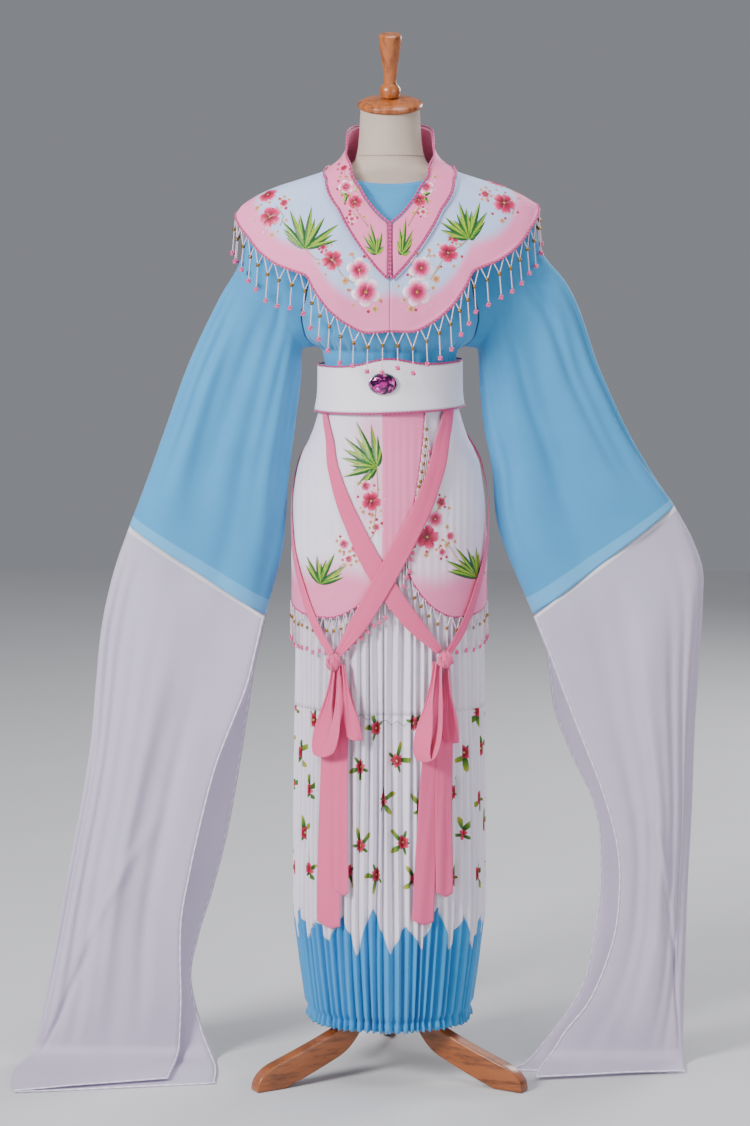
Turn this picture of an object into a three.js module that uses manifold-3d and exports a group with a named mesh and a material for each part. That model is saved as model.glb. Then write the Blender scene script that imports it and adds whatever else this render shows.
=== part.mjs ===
// Chinese opera robe with long water sleeves, on a dress form with three curved wooden legs.
// Millimetres, +Z up. The form faces -Y, so +X is the wearer's left side.
import * as THREE from "three";
import { mergeVertices } from "three/addons/utils/BufferGeometryUtils.js";
import Module from "manifold-3d";

const wasm = await Module();
wasm.setup();

// Driving dimensions
const CLOTH = 1.2; // wall of a plain cloth layer
const LAYER_GAP = 0.5; // clearance between cloths that lie on each other
const SEAM_GAP = 0.3; // clearance between pieces sewn edge to edge
const NECK_TOP = 1662;
const FORM_BOTTOM = 868;
const NECK_CAP_TILT = 0.27; // rise of the neck's cut per mm towards the back
const WAIST_TOP = 1182; // skirt and hip panels start here, under the girdle
const GIRDLE_BOTTOM = 1160;
const GIRDLE_TOP = 1234;
const TUCK_LINE = 648; // seam between the two skirt tiers
const HEM = 96;
const PLEATS = 54;
const ZIGZAG_TIPS = 18; // white points over the blue hem band
const ZIGZAG_LOW = 226;
const ZIGZAG_HIGH = 312;
const SHOULDER_SEAM = 1515; // top of the armhole
const UNDERARM = 1262; // bottom of the armhole
const ARMHOLE_DEPTH = 56;
const UNDERARM_Y_GAP = 0.2;
const STRAND = 1.1; // radius of a bead strand
const STRAND_PITCH = 32; // beads hang this far apart along an edge
const PIPING = 1.7; // radius of corded piping
const FOOT_REACH = 246; // stand axis to the middle of a foot

const COLOUR = {
  blue: 0x5fb4e0,
  white: 0xe6e0ec,
  pink: 0xf2a9c4,
  rose: 0xd0487f,
  ribbon: 0xf08aa8,
  bead: 0xf3c9d6,
  gem: 0x8a2f86,
  silver: 0xc8c8cc,
  linen: 0xcdbcae,
  wood: 0xa8662f,
};

// Helpers: tables with named columns and smooth curves through them
function table(names, rows) {
  const keys = names.split(" ");
  return rows.map((row) => Object.fromEntries(keys.map((key, i) => [key, row[i]])));
}

// A smooth function through rows sorted by one column. It never overshoots a row.
function curve(rows, key, by = "z") {
  const sorted = [...rows].sort((a, b) => a[by] - b[by]);
  const x = sorted.map((row) => row[by]);
  const y = sorted.map((row) => row[key]);
  const rise = x.slice(1).map((v, i) => (y[i + 1] - y[i]) / (v - x[i]));
  const slope = x.map((_, i) => {
    const before = rise[Math.max(0, i - 1)];
    const after = rise[Math.min(rise.length - 1, i)];
    return before * after <= 0 ? 0 : (2 * before * after) / (before + after);
  });
  return (value) => {
    if (value <= x[0]) return y[0];
    if (value >= x[x.length - 1]) return y[y.length - 1];
    const i = x.findIndex((v, k) => v <= value && value < x[k + 1]);
    const span = x[i + 1] - x[i];
    const t = (value - x[i]) / span;
    const cubic = t * t * (3 - 2 * t);
    return (
      y[i] * (1 - cubic) +
      y[i + 1] * cubic +
      span * t * (1 - t) * ((1 - t) * slope[i] - t * slope[i + 1])
    );
  };
}

const radians = THREE.MathUtils.degToRad;
const smoothstep = (value, low, high) => THREE.MathUtils.smoothstep(value, low, high);
const mix = THREE.MathUtils.lerp;

// Ring surfaces: a stack of ellipses, each with its half width and its front and back depth
const BODY = table("z w f b", [
  [80, 133, 112, 110],
  [124, 138, 115, 114],
  [213, 150, 121, 120],
  [302, 158, 124, 123],
  [478, 157, 122, 122],
  [654, 154, 118, 119],
  [800, 149, 108, 114],
  [868, 146, 102, 110],
  [930, 147, 99, 108],
  [985, 147, 98, 108],
  [1060, 138, 96, 101],
  [1120, 117, 87, 87],
  [1190, 103, 77, 75],
  [1250, 111, 89, 81],
  [1330, 134, 116, 92],
  [1390, 142, 108, 96],
  [1440, 156, 92, 96],
  [1480, 175, 76, 88],
  [1505, 186, 66, 77],
  [1526, 184, 60, 70],
  [1539.6, 145, 58, 66],
  [1553.5, 105, 57, 63],
  [1562.5, 79, 57, 61],
  [1576, 63, 56, 59],
  [1600, 57, 54, 56],
  [1640, 54, 52, 53],
  [1690, 52, 50, 51],
]);
const BLOUSE_EASE = table("z w f b", [
  [1150, 0, 0, 0],
  [1256, 0, 0, 0],
  [1268, 14, 10, 7],
  [1284, 25, 17, 14],
  [1305, 26, 16, 14],
  [1350, 15, 10, 11],
  [1400, 8, 8, 8],
  [1450, 3, 4, 4],
  [1500, 0, 0, 0],
  [1600, 0, 0, 0],
]);
const SKIRT_EASE = table("z w f b depth", [
  [80, 11, 10, 10, 9],
  [213, 11, 10, 10, 8],
  [302, 12, 10, 10, 8],
  [654, 11, 10, 10, 7.5],
  [800, 14, 14, 12, 7],
  [868, 15.5, 16, 13, 6.5],
  [985, 12, 13, 12, 5.5],
  [1060, 11, 11.5, 10.5, 4],
  [1120, 7, 7, 7, 1.6],
  [1160, 5.6, 5.6, 5.6, 0.5],
  [1230, 5.2, 5.2, 5.2, 0.4],
]);
// The cape and its stand collar share one surface, from the collar's top down to the cape's hem
const SHAWL = table("z w f b", [
  [1280, 292, 138, 126],
  [1350, 290, 137, 125],
  [1400, 285, 128, 120],
  [1440, 277, 110, 112],
  [1470, 268, 97, 104],
  [1496, 253, 84, 93],
  [1514, 228, 77, 88],
  [1530.8, 191, 71, 82],
  [1545.6, 145, 68, 77],
  [1557.4, 110, 68, 75],
  [1566.5, 93, 67, 72],
  [1578, 80, 66, 69],
  [1592, 72, 66, 68],
  [1612, 68, 65, 66],
  [1650, 65, 64, 65],
]);

function ringSurface(rows, ease) {
  const made = {};
  for (const key of ["w", "f", "b"]) {
    const base = curve(rows, key);
    const extra = ease ? curve(ease, key) : () => 0;
    made[key] = (z) => base(z) + extra(z);
  }
  return made;
}

const bodySurface = ringSurface(BODY);
const blouseSurface = ringSurface(BODY, BLOUSE_EASE);
const skirtSurface = ringSurface(BODY, SKIRT_EASE);
const shawlSurface = ringSurface(SHAWL);
const pleatDepth = curve(SKIRT_EASE, "depth");

// Angle 0 is the wearer's left side, 90 the front, 180 the right side and 270 the back
function ringPoint(surface, angle, z) {
  const a = radians(angle);
  const depth = Math.sin(a) >= 0 ? surface.f(z) : surface.b(z);
  return new THREE.Vector3(surface.w(z) * Math.cos(a), -depth * Math.sin(a), z);
}

function lifted(surface, angle, z, lift) {
  const step = 0.6;
  const round = ringPoint(surface, angle + step, z).sub(ringPoint(surface, angle - step, z));
  const up = ringPoint(surface, angle, z + step).sub(ringPoint(surface, angle, z - step));
  const normal = new THREE.Vector3().crossVectors(up, round).normalize();
  return ringPoint(surface, angle, z).addScaledVector(normal, lift);
}

// The angle at which a ring passes a given x on the front
const angleAtX = (surface, x, z) =>
  THREE.MathUtils.radToDeg(Math.acos(THREE.MathUtils.clamp(x / surface.w(z), -1, 1)));

// Solids from point grids
function solidFrom(points, faces) {
  const index = faces.flat();
  let volume = 0;
  for (let i = 0; i < index.length; i += 3) {
    const [a, b, c] = [points[index[i]], points[index[i + 1]], points[index[i + 2]]];
    volume += a.dot(new THREE.Vector3().crossVectors(b, c));
  }
  const turned = volume < 0 ? index.reverse() : index;
  return new THREE.BufferGeometry().setFromPoints(points).setIndex(turned);
}

function quad(a, b, c, d) {
  return [
    [a, b, c],
    [a, c, d],
  ];
}

// A cloth wall between two grids of the same size: grid[row][column]
function wall(outer, inner, closed) {
  const rows = outer.length;
  const columns = outer[0].length;
  const points = [...outer.flat(), ...inner.flat()];
  const at = (layer, row, column) => layer * rows * columns + row * columns + (column % columns);
  const faces = [];
  const spans = closed ? columns : columns - 1;
  for (let row = 0; row < rows - 1; row++)
    for (let column = 0; column < spans; column++) {
      const [r, c] = [row + 1, column + 1];
      faces.push(...quad(at(0, row, column), at(0, row, c), at(0, r, c), at(0, r, column)));
      faces.push(...quad(at(1, row, column), at(1, r, column), at(1, r, c), at(1, row, c)));
    }
  for (let column = 0; column < spans; column++) {
    const [c, last] = [column + 1, rows - 1];
    faces.push(...quad(at(0, 0, column), at(1, 0, column), at(1, 0, c), at(0, 0, c)));
    faces.push(...quad(at(0, last, column), at(0, last, c), at(1, last, c), at(1, last, column)));
  }
  if (!closed)
    for (let row = 0; row < rows - 1; row++) {
      const [r, last] = [row + 1, columns - 1];
      faces.push(...quad(at(0, row, 0), at(0, r, 0), at(1, r, 0), at(1, row, 0)));
      faces.push(...quad(at(0, row, last), at(1, row, last), at(1, r, last), at(0, r, last)));
    }
  return solidFrom(points, faces);
}

// A solid through closed rings of points, with flat ends
function loft(rings) {
  const count = rings[0].length;
  const points = rings.flat();
  const faces = [];
  for (let row = 0; row < rings.length - 1; row++)
    for (let i = 0; i < count; i++) {
      const j = (i + 1) % count;
      const [low, high] = [row * count, (row + 1) * count];
      faces.push(...quad(low + i, low + j, high + j, high + i));
    }
  for (const [row, turn] of [
    [0, true],
    [rings.length - 1, false],
  ]) {
    if (count === 3) {
      const cap = [row * count, row * count + 1, row * count + 2];
      faces.push(turn ? cap.reverse() : cap);
      continue;
    }
    const centre = points.length;
    const middle = rings[row].reduce((sum, p) => sum.add(p), new THREE.Vector3());
    points.push(middle.divideScalar(count));
    for (let i = 0; i < count; i++) {
      const [a, b] = [row * count + i, row * count + ((i + 1) % count)];
      faces.push(turn ? [centre, b, a] : [centre, a, b]);
    }
  }
  return solidFrom(points, faces);
}

// The outer grid moved inwards along its own normals
function offsetGrid(grid, closed, distance) {
  const columns = grid[0].length;
  return grid.map((row, r) =>
    row.map((point, c) => {
      const before = closed ? (c + columns - 1) % columns : Math.max(0, c - 1);
      const after = closed ? (c + 1) % columns : Math.min(columns - 1, c + 1);
      const across = row[after].clone().sub(row[before]);
      const down = grid[Math.min(grid.length - 1, r + 1)][c].clone().sub(grid[Math.max(0, r - 1)][c]);
      const normal = new THREE.Vector3().crossVectors(across, down).normalize();
      return point.clone().addScaledVector(normal, distance);
    }),
  );
}

// The points of a cloth piece on a ring surface. place(u, v) gives its angle and height.
function patchGrid(surface, place, across, along, lift) {
  return Array.from({ length: along + 1 }, (_, v) =>
    Array.from({ length: across + 1 }, (_, u) => {
      const { angle, z } = place(u / across, v / along);
      return lifted(surface, angle, z, lift);
    }),
  );
}

// A cloth piece between two lifts
function patch(surface, place, across, along, inner, outer) {
  const grids = [outer, inner].map((lift) => patchGrid(surface, place, across, along, lift));
  return wall(grids[0], grids[1], false);
}

// Points just off a piece's edge, level with the middle of its wall. spots lists rows and columns.
function besideEdge(grid, spots, reach) {
  const edge = spots.map(([row, column]) => grid[row][column]);
  return spots.map(([, , inRow, inColumn], i) => {
    const here = edge[i];
    const next = edge[Math.min(edge.length - 1, i + 1)].clone().sub(here);
    const before = here.clone().sub(edge[Math.max(0, i - 1)]);
    const ahead = next.lengthSq() ? next.normalize() : before.clone().normalize();
    const behind = before.lengthSq() ? before.normalize() : ahead;
    const along = ahead.clone().add(behind).normalize();
    const away = here.clone().sub(grid[inRow][inColumn]);
    away.addScaledVector(along, -away.dot(along)).normalize();
    return here.clone().addScaledVector(away, reach / Math.max(0.55, along.dot(ahead)));
  });
}

// A round cord along a list of points
function cordRings(points, radius, sides) {
  let reference = new THREE.Vector3(0.31, 0.17, 0.93);
  return points.map((point, i) => {
    const tangent = points[Math.min(points.length - 1, i + 1)].clone();
    tangent.sub(points[Math.max(0, i - 1)]).normalize();
    const side = new THREE.Vector3().crossVectors(tangent, reference).normalize();
    const up = new THREE.Vector3().crossVectors(side, tangent);
    reference = up.clone();
    return Array.from({ length: sides }, (_, k) => {
      const a = (2 * Math.PI * k) / sides;
      return point
        .clone()
        .addScaledVector(side, radius * Math.cos(a))
        .addScaledVector(up, radius * Math.sin(a));
    });
  });
}

const cord = (points, radius, sides = 6) => loft(cordRings(points, radius, sides));

function toManifold(geometry) {
  const bare = geometry.clone();
  bare.deleteAttribute("normal");
  bare.deleteAttribute("uv");
  const merged = mergeVertices(bare, 1e-4);
  return new wasm.Manifold(
    new wasm.Mesh({
      numProp: 3,
      vertProperties: new Float32Array(merged.attributes.position.array),
      triVerts: new Uint32Array(merged.index.array),
    }),
  );
}

function fromManifold(solid) {
  const mesh = solid.getMesh();
  return new THREE.BufferGeometry()
    .setAttribute("position", new THREE.BufferAttribute(mesh.vertProperties, 3))
    .setIndex(new THREE.BufferAttribute(mesh.triVerts, 1));
}

function fused(geometries) {
  return fromManifold(geometries.map(toManifold).reduce((sum, next) => sum.add(next)));
}

const group = new THREE.Group();

function addPiece(name, geometry, colour, roughness = 0.7, metalness = 0) {
  const material = new THREE.MeshStandardMaterial({
    color: colour,
    roughness,
    metalness,
    side: THREE.DoubleSide,
  });
  const mesh = new THREE.Mesh(geometry, material);
  mesh.name = name;
  group.add(mesh);
  return mesh;
}

// Wearer's sides: the sign of x
const SIDES = [
  ["right", -1],
  ["left", 1],
];
const sided = (angle, sign) => (sign > 0 ? angle : 180 - angle);

const FORM_EASE = 3.2; // the form is this much smaller than the cloth's surface

// Dress form: torso, neck cap, finial, base plate, pole, hub and legs
function formTorso() {
  const shoulder = (z) => smoothstep(z, 1480, 1508) * (1 - smoothstep(z, 1540, 1561));
  const heights = [868, 985, 1080, 1190, 1254, 1330, 1440, 1482, 1508, 1530, 1546, 1561, 1576, 1604];
  const columns = 18;
  return loft(
    [...heights, NECK_TOP].map((z) =>
      Array.from({ length: columns }, (_, i) => {
        const point = lifted(bodySurface, (360 * i) / columns, z, -FORM_EASE - 5 * shoulder(z));
        point.z += point.y * NECK_CAP_TILT * smoothstep(z, 1590, NECK_TOP);
        return point;
      }),
    ),
  );
}

function turned(profile, segments) {
  const points = profile.map(([radius, z]) => new THREE.Vector2(radius, z));
  const geometry = new THREE.LatheGeometry(points, segments);
  geometry.rotateX(Math.PI / 2);
  return cleaned(geometry);
}

// Lathe and extrude solids with their shared vertices merged and no empty faces
function cleaned(geometry) {
  const bare = geometry.clone();
  bare.deleteAttribute("normal");
  bare.deleteAttribute("uv");
  const merged = mergeVertices(bare, 1e-3);
  const index = merged.index ? [...merged.index.array] : null;
  const faces = [];
  for (let i = 0; i < index.length; i += 3) {
    const face = [index[i], index[i + 1], index[i + 2]];
    if (new Set(face).size === 3) faces.push(face);
  }
  const position = merged.attributes.position;
  const points = Array.from({ length: position.count }, (_, i) =>
    new THREE.Vector3().fromBufferAttribute(position, i),
  );
  return solidFrom(points, faces);
}

function addStand() {
  addPiece("form_torso", formTorso(), COLOUR.linen, 0.9);
  const capProfile = [
    [0, 0],
    [52, 0],
    [54.5, 3],
    [54, 8],
    [44, 13],
    [20, 17],
    [0, 17],
  ];
  const finialProfile = [
    [0, 0],
    [11, 0],
    [17, 7],
    [17, 17],
    [11, 24],
    [10.5, 28],
    [15, 66],
    [19, 96],
    [19.5, 104],
    [16, 107],
    [0, 107],
  ];
  const headTilt = Math.atan(NECK_CAP_TILT);
  const head = new THREE.Group();
  head.position.set(0, 0, NECK_TOP);
  head.rotation.set(headTilt, 0, 0);
  const cap = addPiece("neck_cap", turned(capProfile, 18), COLOUR.wood, 0.35);
  cap.position.z = SEAM_GAP + 0.1;
  const finial = addPiece("finial", turned(finialProfile, 10), COLOUR.wood, 0.35);
  finial.position.z = cap.position.z + 17 + SEAM_GAP;
  // The finial leans back to the upright, and a little to the wearer's right
  finial.rotation.set(0, 0, 0);
  head.add(cap, finial);
  group.add(head);

  const plate = turned(
    [
      [0, 0],
      [1, 0],
      [1.02, 0.006],
      [1.02, 0.012],
      [0, 0.012],
    ].map(([radius, z]) => [radius * 100, z * 1000]),
    16,
  );
  plate.scale(1.36, 0.98, 1);
  plate.translate(0, 4, FORM_BOTTOM - 12 - SEAM_GAP);
  addPiece("base_plate", plate, COLOUR.wood, 0.4);

  const hubTop = 322;
  const hubBottom = 198;
  const plateBottom = FORM_BOTTOM - 12 - SEAM_GAP;
  addPiece(
    "pole",
    turned(
      [
        [0, hubTop + SEAM_GAP],
        [14, hubTop + SEAM_GAP],
        [14, plateBottom - SEAM_GAP],
        [0, plateBottom - SEAM_GAP],
      ],
      16,
    ),
    COLOUR.wood,
    0.4,
  );
  addPiece(
    "hub",
    turned(
      [
        [0, hubBottom - 14],
        [14, hubBottom - 10],
        [29, hubBottom],
        [29, hubTop - 16],
        [24, hubTop - 4],
        [20, hubTop],
        [0, hubTop],
      ],
      12,
    ),
    COLOUR.wood,
    0.4,
  );
  for (const [name, bearing] of [
    ["leg_right", -150],
    ["leg_left", -30],
    ["leg_back", 90],
  ]) {
    const leg = addPiece(name, legSolid(), COLOUR.wood, 0.4);
    leg.rotation.z = radians(bearing);
  }
}

// A leg sawn from a board: its outline in the plane of reach and height
function legSolid() {
  const thickness = 26;
  const hubFace = 29 + SEAM_GAP;
  const outline = new THREE.Shape();
  outline.moveTo(hubFace, 300);
  outline.lineTo(hubFace, 214);
  outline.bezierCurveTo(hubFace + 6, 120, 64, 62, 104, 42);
  outline.bezierCurveTo(140, 26, 176, 12, 212, 0);
  outline.lineTo(FOOT_REACH + 20, 0);
  outline.bezierCurveTo(FOOT_REACH + 22, 20, FOOT_REACH + 6, 36, 226, 44);
  outline.bezierCurveTo(190, 56, 150, 70, 112, 86);
  outline.bezierCurveTo(84, 106, 66, 190, 56, 300);
  outline.closePath();
  const board = new THREE.ExtrudeGeometry(outline, {
    depth: thickness,
    bevelEnabled: false,
    curveSegments: 4,
  });
  board.rotateX(Math.PI / 2);
  board.translate(0, thickness / 2, 0);
  return cleaned(board);
}

// Blouse: front and back, with a scooped neck and open armholes
const BLOUSE_LIFT = 1.4;
const BLOUSE_ROWS = [1176, 1206, 1254, 1280, 1330, 1390, 1440, 1482, 1508, 1530, 1546, 1561];
const armholeMiddle = (SHOULDER_SEAM + UNDERARM) / 2;
const armholeHalf = (SHOULDER_SEAM - UNDERARM) / 2;

function armholeDepth(z) {
  const across = (z - armholeMiddle) / armholeHalf;
  const depth = Math.abs(across) < 1 ? ARMHOLE_DEPTH * Math.sqrt(1 - across * across) : 0;
  return Math.max(UNDERARM_Y_GAP, depth);
}

function addBlouse() {
  const neck = 1561;
  for (const [name, back, scoop] of [
    ["blouse_front", false, 37],
    ["blouse_back", true, 12],
  ]) {
    const place = (u, v) => {
      const straight = 180 * u;
      const top = neck - scoop * Math.sin(radians(straight)) ** 6;
      const row = BLOUSE_ROWS[Math.round(v * (BLOUSE_ROWS.length - 1))];
      const z = row - (neck - top) * smoothstep(row, 1380, neck);
      const depth = back ? blouseSurface.b(z) : blouseSurface.f(z);
      const start = THREE.MathUtils.radToDeg(Math.asin(armholeDepth(z) / depth));
      const angle = mix(start, 180 - start, u);
      return { angle: back ? -angle : angle, z };
    };
    const lift = BLOUSE_LIFT;
    addPiece(name, patch(blouseSurface, place, 8, BLOUSE_ROWS.length - 1, lift, lift + CLOTH), COLOUR.blue);
  }
}

// Blue sleeve: a wide tube from the armhole, its sections given by their top and under edges
const SLEEVE_RIGHT = table("topX topZ underX underZ depth", [
  [222, 1500, 148, 1258, 52],
  [241, 1468, 149, 1254, 50],
  [249, 1420, 150, 1247, 49],
  [290, 1342, 150, 1214, 48],
  [340, 1238, 160, 1128, 46],
  [384, 1119, 172, 1034, 46],
  [415, 1034, 182, 922, 45],
  [445, 957, 213, 803, 44],
]);
const SLEEVE_LEFT = table("topX topZ underX underZ depth", [
  [222, 1503, 148, 1258, 52],
  [241, 1474, 149, 1254, 50],
  [252, 1432, 150, 1247, 49],
  [298, 1370, 151, 1214, 48],
  [357, 1222, 160, 1122, 46],
  [404, 1120, 174, 1052, 46],
  [444, 1052, 184, 957, 45],
  [485, 992, 245, 804, 44],
]);
const SLEEVE_FOLD = 7; // height of the long soft folds

function sleeveGrid(sign, rows) {
  const columns = 16;
  const armhole = Array.from({ length: columns }, (_, i) => {
    const a = (2 * Math.PI * i) / columns;
    const z = armholeMiddle + (armholeHalf - SEAM_GAP) * Math.cos(a);
    const y = -(ARMHOLE_DEPTH - 0.6) * Math.sin(a);
    const depth = y < 0 ? blouseSurface.f(z) : blouseSurface.b(z);
    const x = (blouseSurface.w(z) + BLOUSE_LIFT + CLOTH) * Math.sqrt(1 - (y / depth) ** 2);
    return new THREE.Vector3(sign * (x + 1), y, z);
  });
  const rings = rows.map((row, k) =>
    Array.from({ length: columns }, (_, i) => {
      const a = (2 * Math.PI * i) / columns;
      const share = (1 - Math.cos(a)) / 2; // 0 at the top edge, 1 at the under edge
      const round = Math.sign(Math.sin(a)) * Math.abs(Math.sin(a)) ** 0.8;
      const grown = smoothstep(k, 1, rows.length - 2);
      const fold = SLEEVE_FOLD * grown * Math.sin(a) ** 2 * Math.cos(7.5 * share - 0.8 * Math.sign(Math.sin(a)));
      const x = mix(row.topX, row.underX, share);
      const y = -row.depth * round - fold * Math.sign(Math.sin(a));
      return new THREE.Vector3(sign * x, y, mix(row.topZ, row.underZ, share));
    }),
  );
  return [armhole, ...rings];
}

function addSleeves() {
  for (const [side, sign] of SIDES) {
    const grid = sleeveGrid(sign, sign < 0 ? SLEEVE_RIGHT : SLEEVE_LEFT);
    const inner = offsetGrid(grid, true, sign < 0 ? CLOTH : -CLOTH);
    addPiece("sleeve_" + side, wall(grid, inner, true), COLOUR.blue, 0.6);
  }
}

// Water sleeve: white cloth from the cuff to the floor, folded at its outer edge and open along the inner one.
// Each row gives the fold, the front layer's edge and the back layer's edge, as reach from the stand axis
// and length still to fall. A negative length lies forward on the floor.
const WATER_RIGHT = table("foldX foldZ frontX frontZ backX backZ gape over", [
  [445, 956.4, 213, 802.4, 213, 802.4, 42, 0],
  [472, 881, 224, 755, 221, 762, 43, 0],
  [495, 786, 242, 683, 232, 716, 42, 2],
  [508, 677, 270, 612, 242, 655, 40, 4],
  [517, 588, 296, 545, 252, 590, 38, 6],
  [534, 484, 320, 458, 266, 505, 34, 7],
  [555, 381, 345, 349, 286, 400, 31, 7],
  [574, 283, 361, 262, 312, 300, 27, 6],
  [592, 186, 364, 186, 336, 222, 23, 5],
  [612, 90, 364, 110, 350, 140, 17, 3],
  [632, 16, 368, 34, 330, 52, 9, 1],
  [652, -60, 374, -38, 306, -12, 4, 0],
  [652, -126, 378, -88, 299, -72, 3.6, 0],
  [638, -196, 380, -128, 299, -140, 3.4, 0],
]);
const WATER_LEFT = table("foldX foldZ frontX frontZ backX backZ gape over", [
  [485, 991.4, 245, 803.4, 245, 803.4, 42, 0],
  [515, 938, 259, 768, 260, 770, 43, 0],
  [535, 885, 274, 731, 270, 738, 42, 4],
  [537, 830, 296, 672, 277, 690, 40, 10],
  [532, 715, 326, 596, 286, 628, 37, 14],
  [527, 592, 364, 500, 318, 545, 34, 16],
  [525, 469, 390, 412, 356, 462, 30, 16],
  [520, 317, 398, 320, 369, 360, 26, 14],
  [518, 178, 384, 210, 360, 240, 21, 10],
  [517, 90, 346, 112, 336, 132, 15, 6],
  [516, 20, 296, 40, 284, 52, 8, 2],
  [515, -22, 262, -40, 232, -8, 4, 0],
  [514, -56, 250, -104, 206, -44, 3.4, 0],
]);
const FLOOR_BEND = 30;

// A point of hanging cloth, bent forward where it reaches the floor. side is its depth behind the middle.
function fallen(x, fall, side, lean, lowest) {
  const arc = (FLOOR_BEND * Math.PI) / 2;
  const back = lean * (1 - THREE.MathUtils.clamp(fall, 0, 950) / 950);
  const turn = THREE.MathUtils.clamp((FLOOR_BEND - fall) / FLOOR_BEND, 0, Math.PI / 2);
  const run = Math.max(0, FLOOR_BEND - arc - fall);
  const y = back - FLOOR_BEND + FLOOR_BEND * Math.cos(turn) - run + side * Math.cos(turn);
  const z = Math.max(fall, FLOOR_BEND) - FLOOR_BEND * Math.sin(turn) - side * Math.sin(turn);
  return new THREE.Vector3(x, y, z + lowest * smoothstep(turn, 0, Math.PI / 2));
}

function waterSleeveGrid(sign, rows, lean) {
  const columns = 12;
  return rows.map((row, k) =>
    Array.from({ length: columns + 1 }, (_, i) => {
      const a = (Math.PI * i) / columns; // 0 at the front edge, 90 degrees at the fold, 180 at the back edge
      const front = a < Math.PI / 2;
      const across = Math.max(0, Math.sin(a)) ** 0.85;
      const x = mix(front ? row.frontX : row.backX, row.foldX, across);
      const fall = mix(front ? row.frontZ : row.backZ, row.foldZ, across);
      const round = Math.sign(Math.cos(a)) * Math.abs(Math.cos(a)) ** 0.62;
      const lowness = row.gape / 42;
      const fold = lowness * smoothstep(k, 0, 3) * 6 * Math.sin(2 * a) ** 2 * Math.cos(11 * across + (front ? 0 : 2));
      const over = front ? row.over * smoothstep(across, 0.42, 0.56) * (1 - smoothstep(across, 0.86, 1)) : 0;
      return fallen(sign * x, fall, -row.gape * round - fold - over, lean, row.gape);
    }),
  );
}

function addWaterSleeves() {
  for (const [side, sign, rows, lean] of [
    ["right", -1, WATER_RIGHT, 62],
    ["left", 1, WATER_LEFT, 46],
  ]) {
    const grid = waterSleeveGrid(sign, rows, lean);
    grid.forEach((row) => row.forEach((point) => (point.z = Math.max(0, point.z))));
    const inner = offsetGrid(grid, false, sign * CLOTH);
    addPiece("water_sleeve_" + side, wall(grid, inner, false), COLOUR.white, 0.6);
  }
}

// Skirt: accordion pleats in three tiers, the last two parted along a zigzag
function skirtRing(z, lift) {
  const count = 2 * PLEATS;
  return Array.from({ length: count }, (_, i) => {
    const height = typeof z === "function" ? z(i / count) : z;
    const fold = i % 2 ? -pleatDepth(height) : 0;
    return lifted(skirtSurface, (360 * i) / count, height, fold + lift);
  });
}

const zigzag = (turn) => {
  const phase = (turn * ZIGZAG_TIPS) % 1;
  return mix(ZIGZAG_LOW, ZIGZAG_HIGH, Math.abs(2 * phase - 1));
};

function pleatedTier(levels) {
  const slant = (z) => Math.hypot(1, pleatDepth(z) / 5.4);
  const inwards = (z) => -CLOTH * 0.9 * slant(typeof z === "function" ? z(0) : z);
  return wall(
    levels.map((z) => skirtRing(z, 0)),
    levels.map((z) => skirtRing(z, inwards(z))),
    true,
  );
}

function addSkirt() {
  const apart = SEAM_GAP * 1.5;
  addPiece("skirt_upper", pleatedTier([WAIST_TOP, 1120, 1045, 960, TUCK_LINE]), COLOUR.white);
  addPiece(
    "skirt_lower",
    pleatedTier([TUCK_LINE - apart, (turn) => zigzag(turn)]),
    COLOUR.white,
  );
  addPiece(
    "skirt_hem_band",
    pleatedTier([(turn) => zigzag(turn) - apart, 160, HEM]),
    COLOUR.blue,
  );
}

// Hip panels: each is cut between a centre edge and a side edge that run down to a rounded lobe
const PANEL_LIFT = { back: 3.2, left: 2.4, right: 5.6 };
const PANEL_WALL = 1;
const PANEL_COLUMNS = 7;
const PANEL_ROWS = 8;
const PANEL_RIGHT = table("share centreX centreZ sideAngle sideZ", [
  [0, 56, 1172, 6, 1172],
  [0.15, 52, 1112, 3, 1112],
  [0.3, 44, 1040, 0, 1050],
  [0.45, 34, 978, 2, 990],
  [0.58, 20, 926, 8, 940],
  [0.7, -6, 884, 16, 896],
  [0.8, -34, 852, 25, 862],
  [0.88, -58, 830, 33, 838],
  [0.94, -78, 818, 39, 822],
  [1, -92, 812, 44, 814],
]);
const PANEL_LEFT = table("share centreX centreZ sideAngle sideZ", [
  [0, 40, 1172, 6, 1172],
  [0.15, 30, 1112, 3, 1112],
  [0.3, 24, 1040, 0, 1050],
  [0.45, 22, 978, 2, 990],
  [0.58, 26, 926, 8, 940],
  [0.7, 34, 884, 16, 896],
  [0.8, 52, 852, 24, 862],
  [0.88, 72, 830, 31, 838],
  [0.94, 90, 818, 37, 822],
  [1, 104, 812, 42, 814],
]);
const PANEL_BACK = table("share centreAngle centreZ sideAngle sideZ", [
  [0, -87.6, 1172, -3, 1172],
  [0.3, -87.8, 1050, -8, 1050],
  [0.5, -87.6, 960, -5, 960],
  [0.65, -84, 905, 1, 902],
  [0.8, -74, 860, 6, 868],
  [0.9, -62, 830, 7, 846],
  [1, -46, 814, 2, 826],
]);

// One panel edge as a function of the share of its length: angle and height on the hip surface
function panelEdges(rows, sign) {
  const by = (key) => curve(rows, key, "share");
  const angleOf = (key, heightKey) =>
    rows[0].centreX === undefined || key === "sideAngle"
      ? (share) => by(key)(share)
      : (share) => angleAtX(skirtSurface, sign * by("centreX")(share), by(heightKey)(share));
  return {
    centre: (share) => ({ angle: angleOf("centreAngle", "centreZ")(share), z: by("centreZ")(share) }),
    side: (share) => ({ angle: by("sideAngle")(share), z: by("sideZ")(share) }),
  };
}

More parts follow.
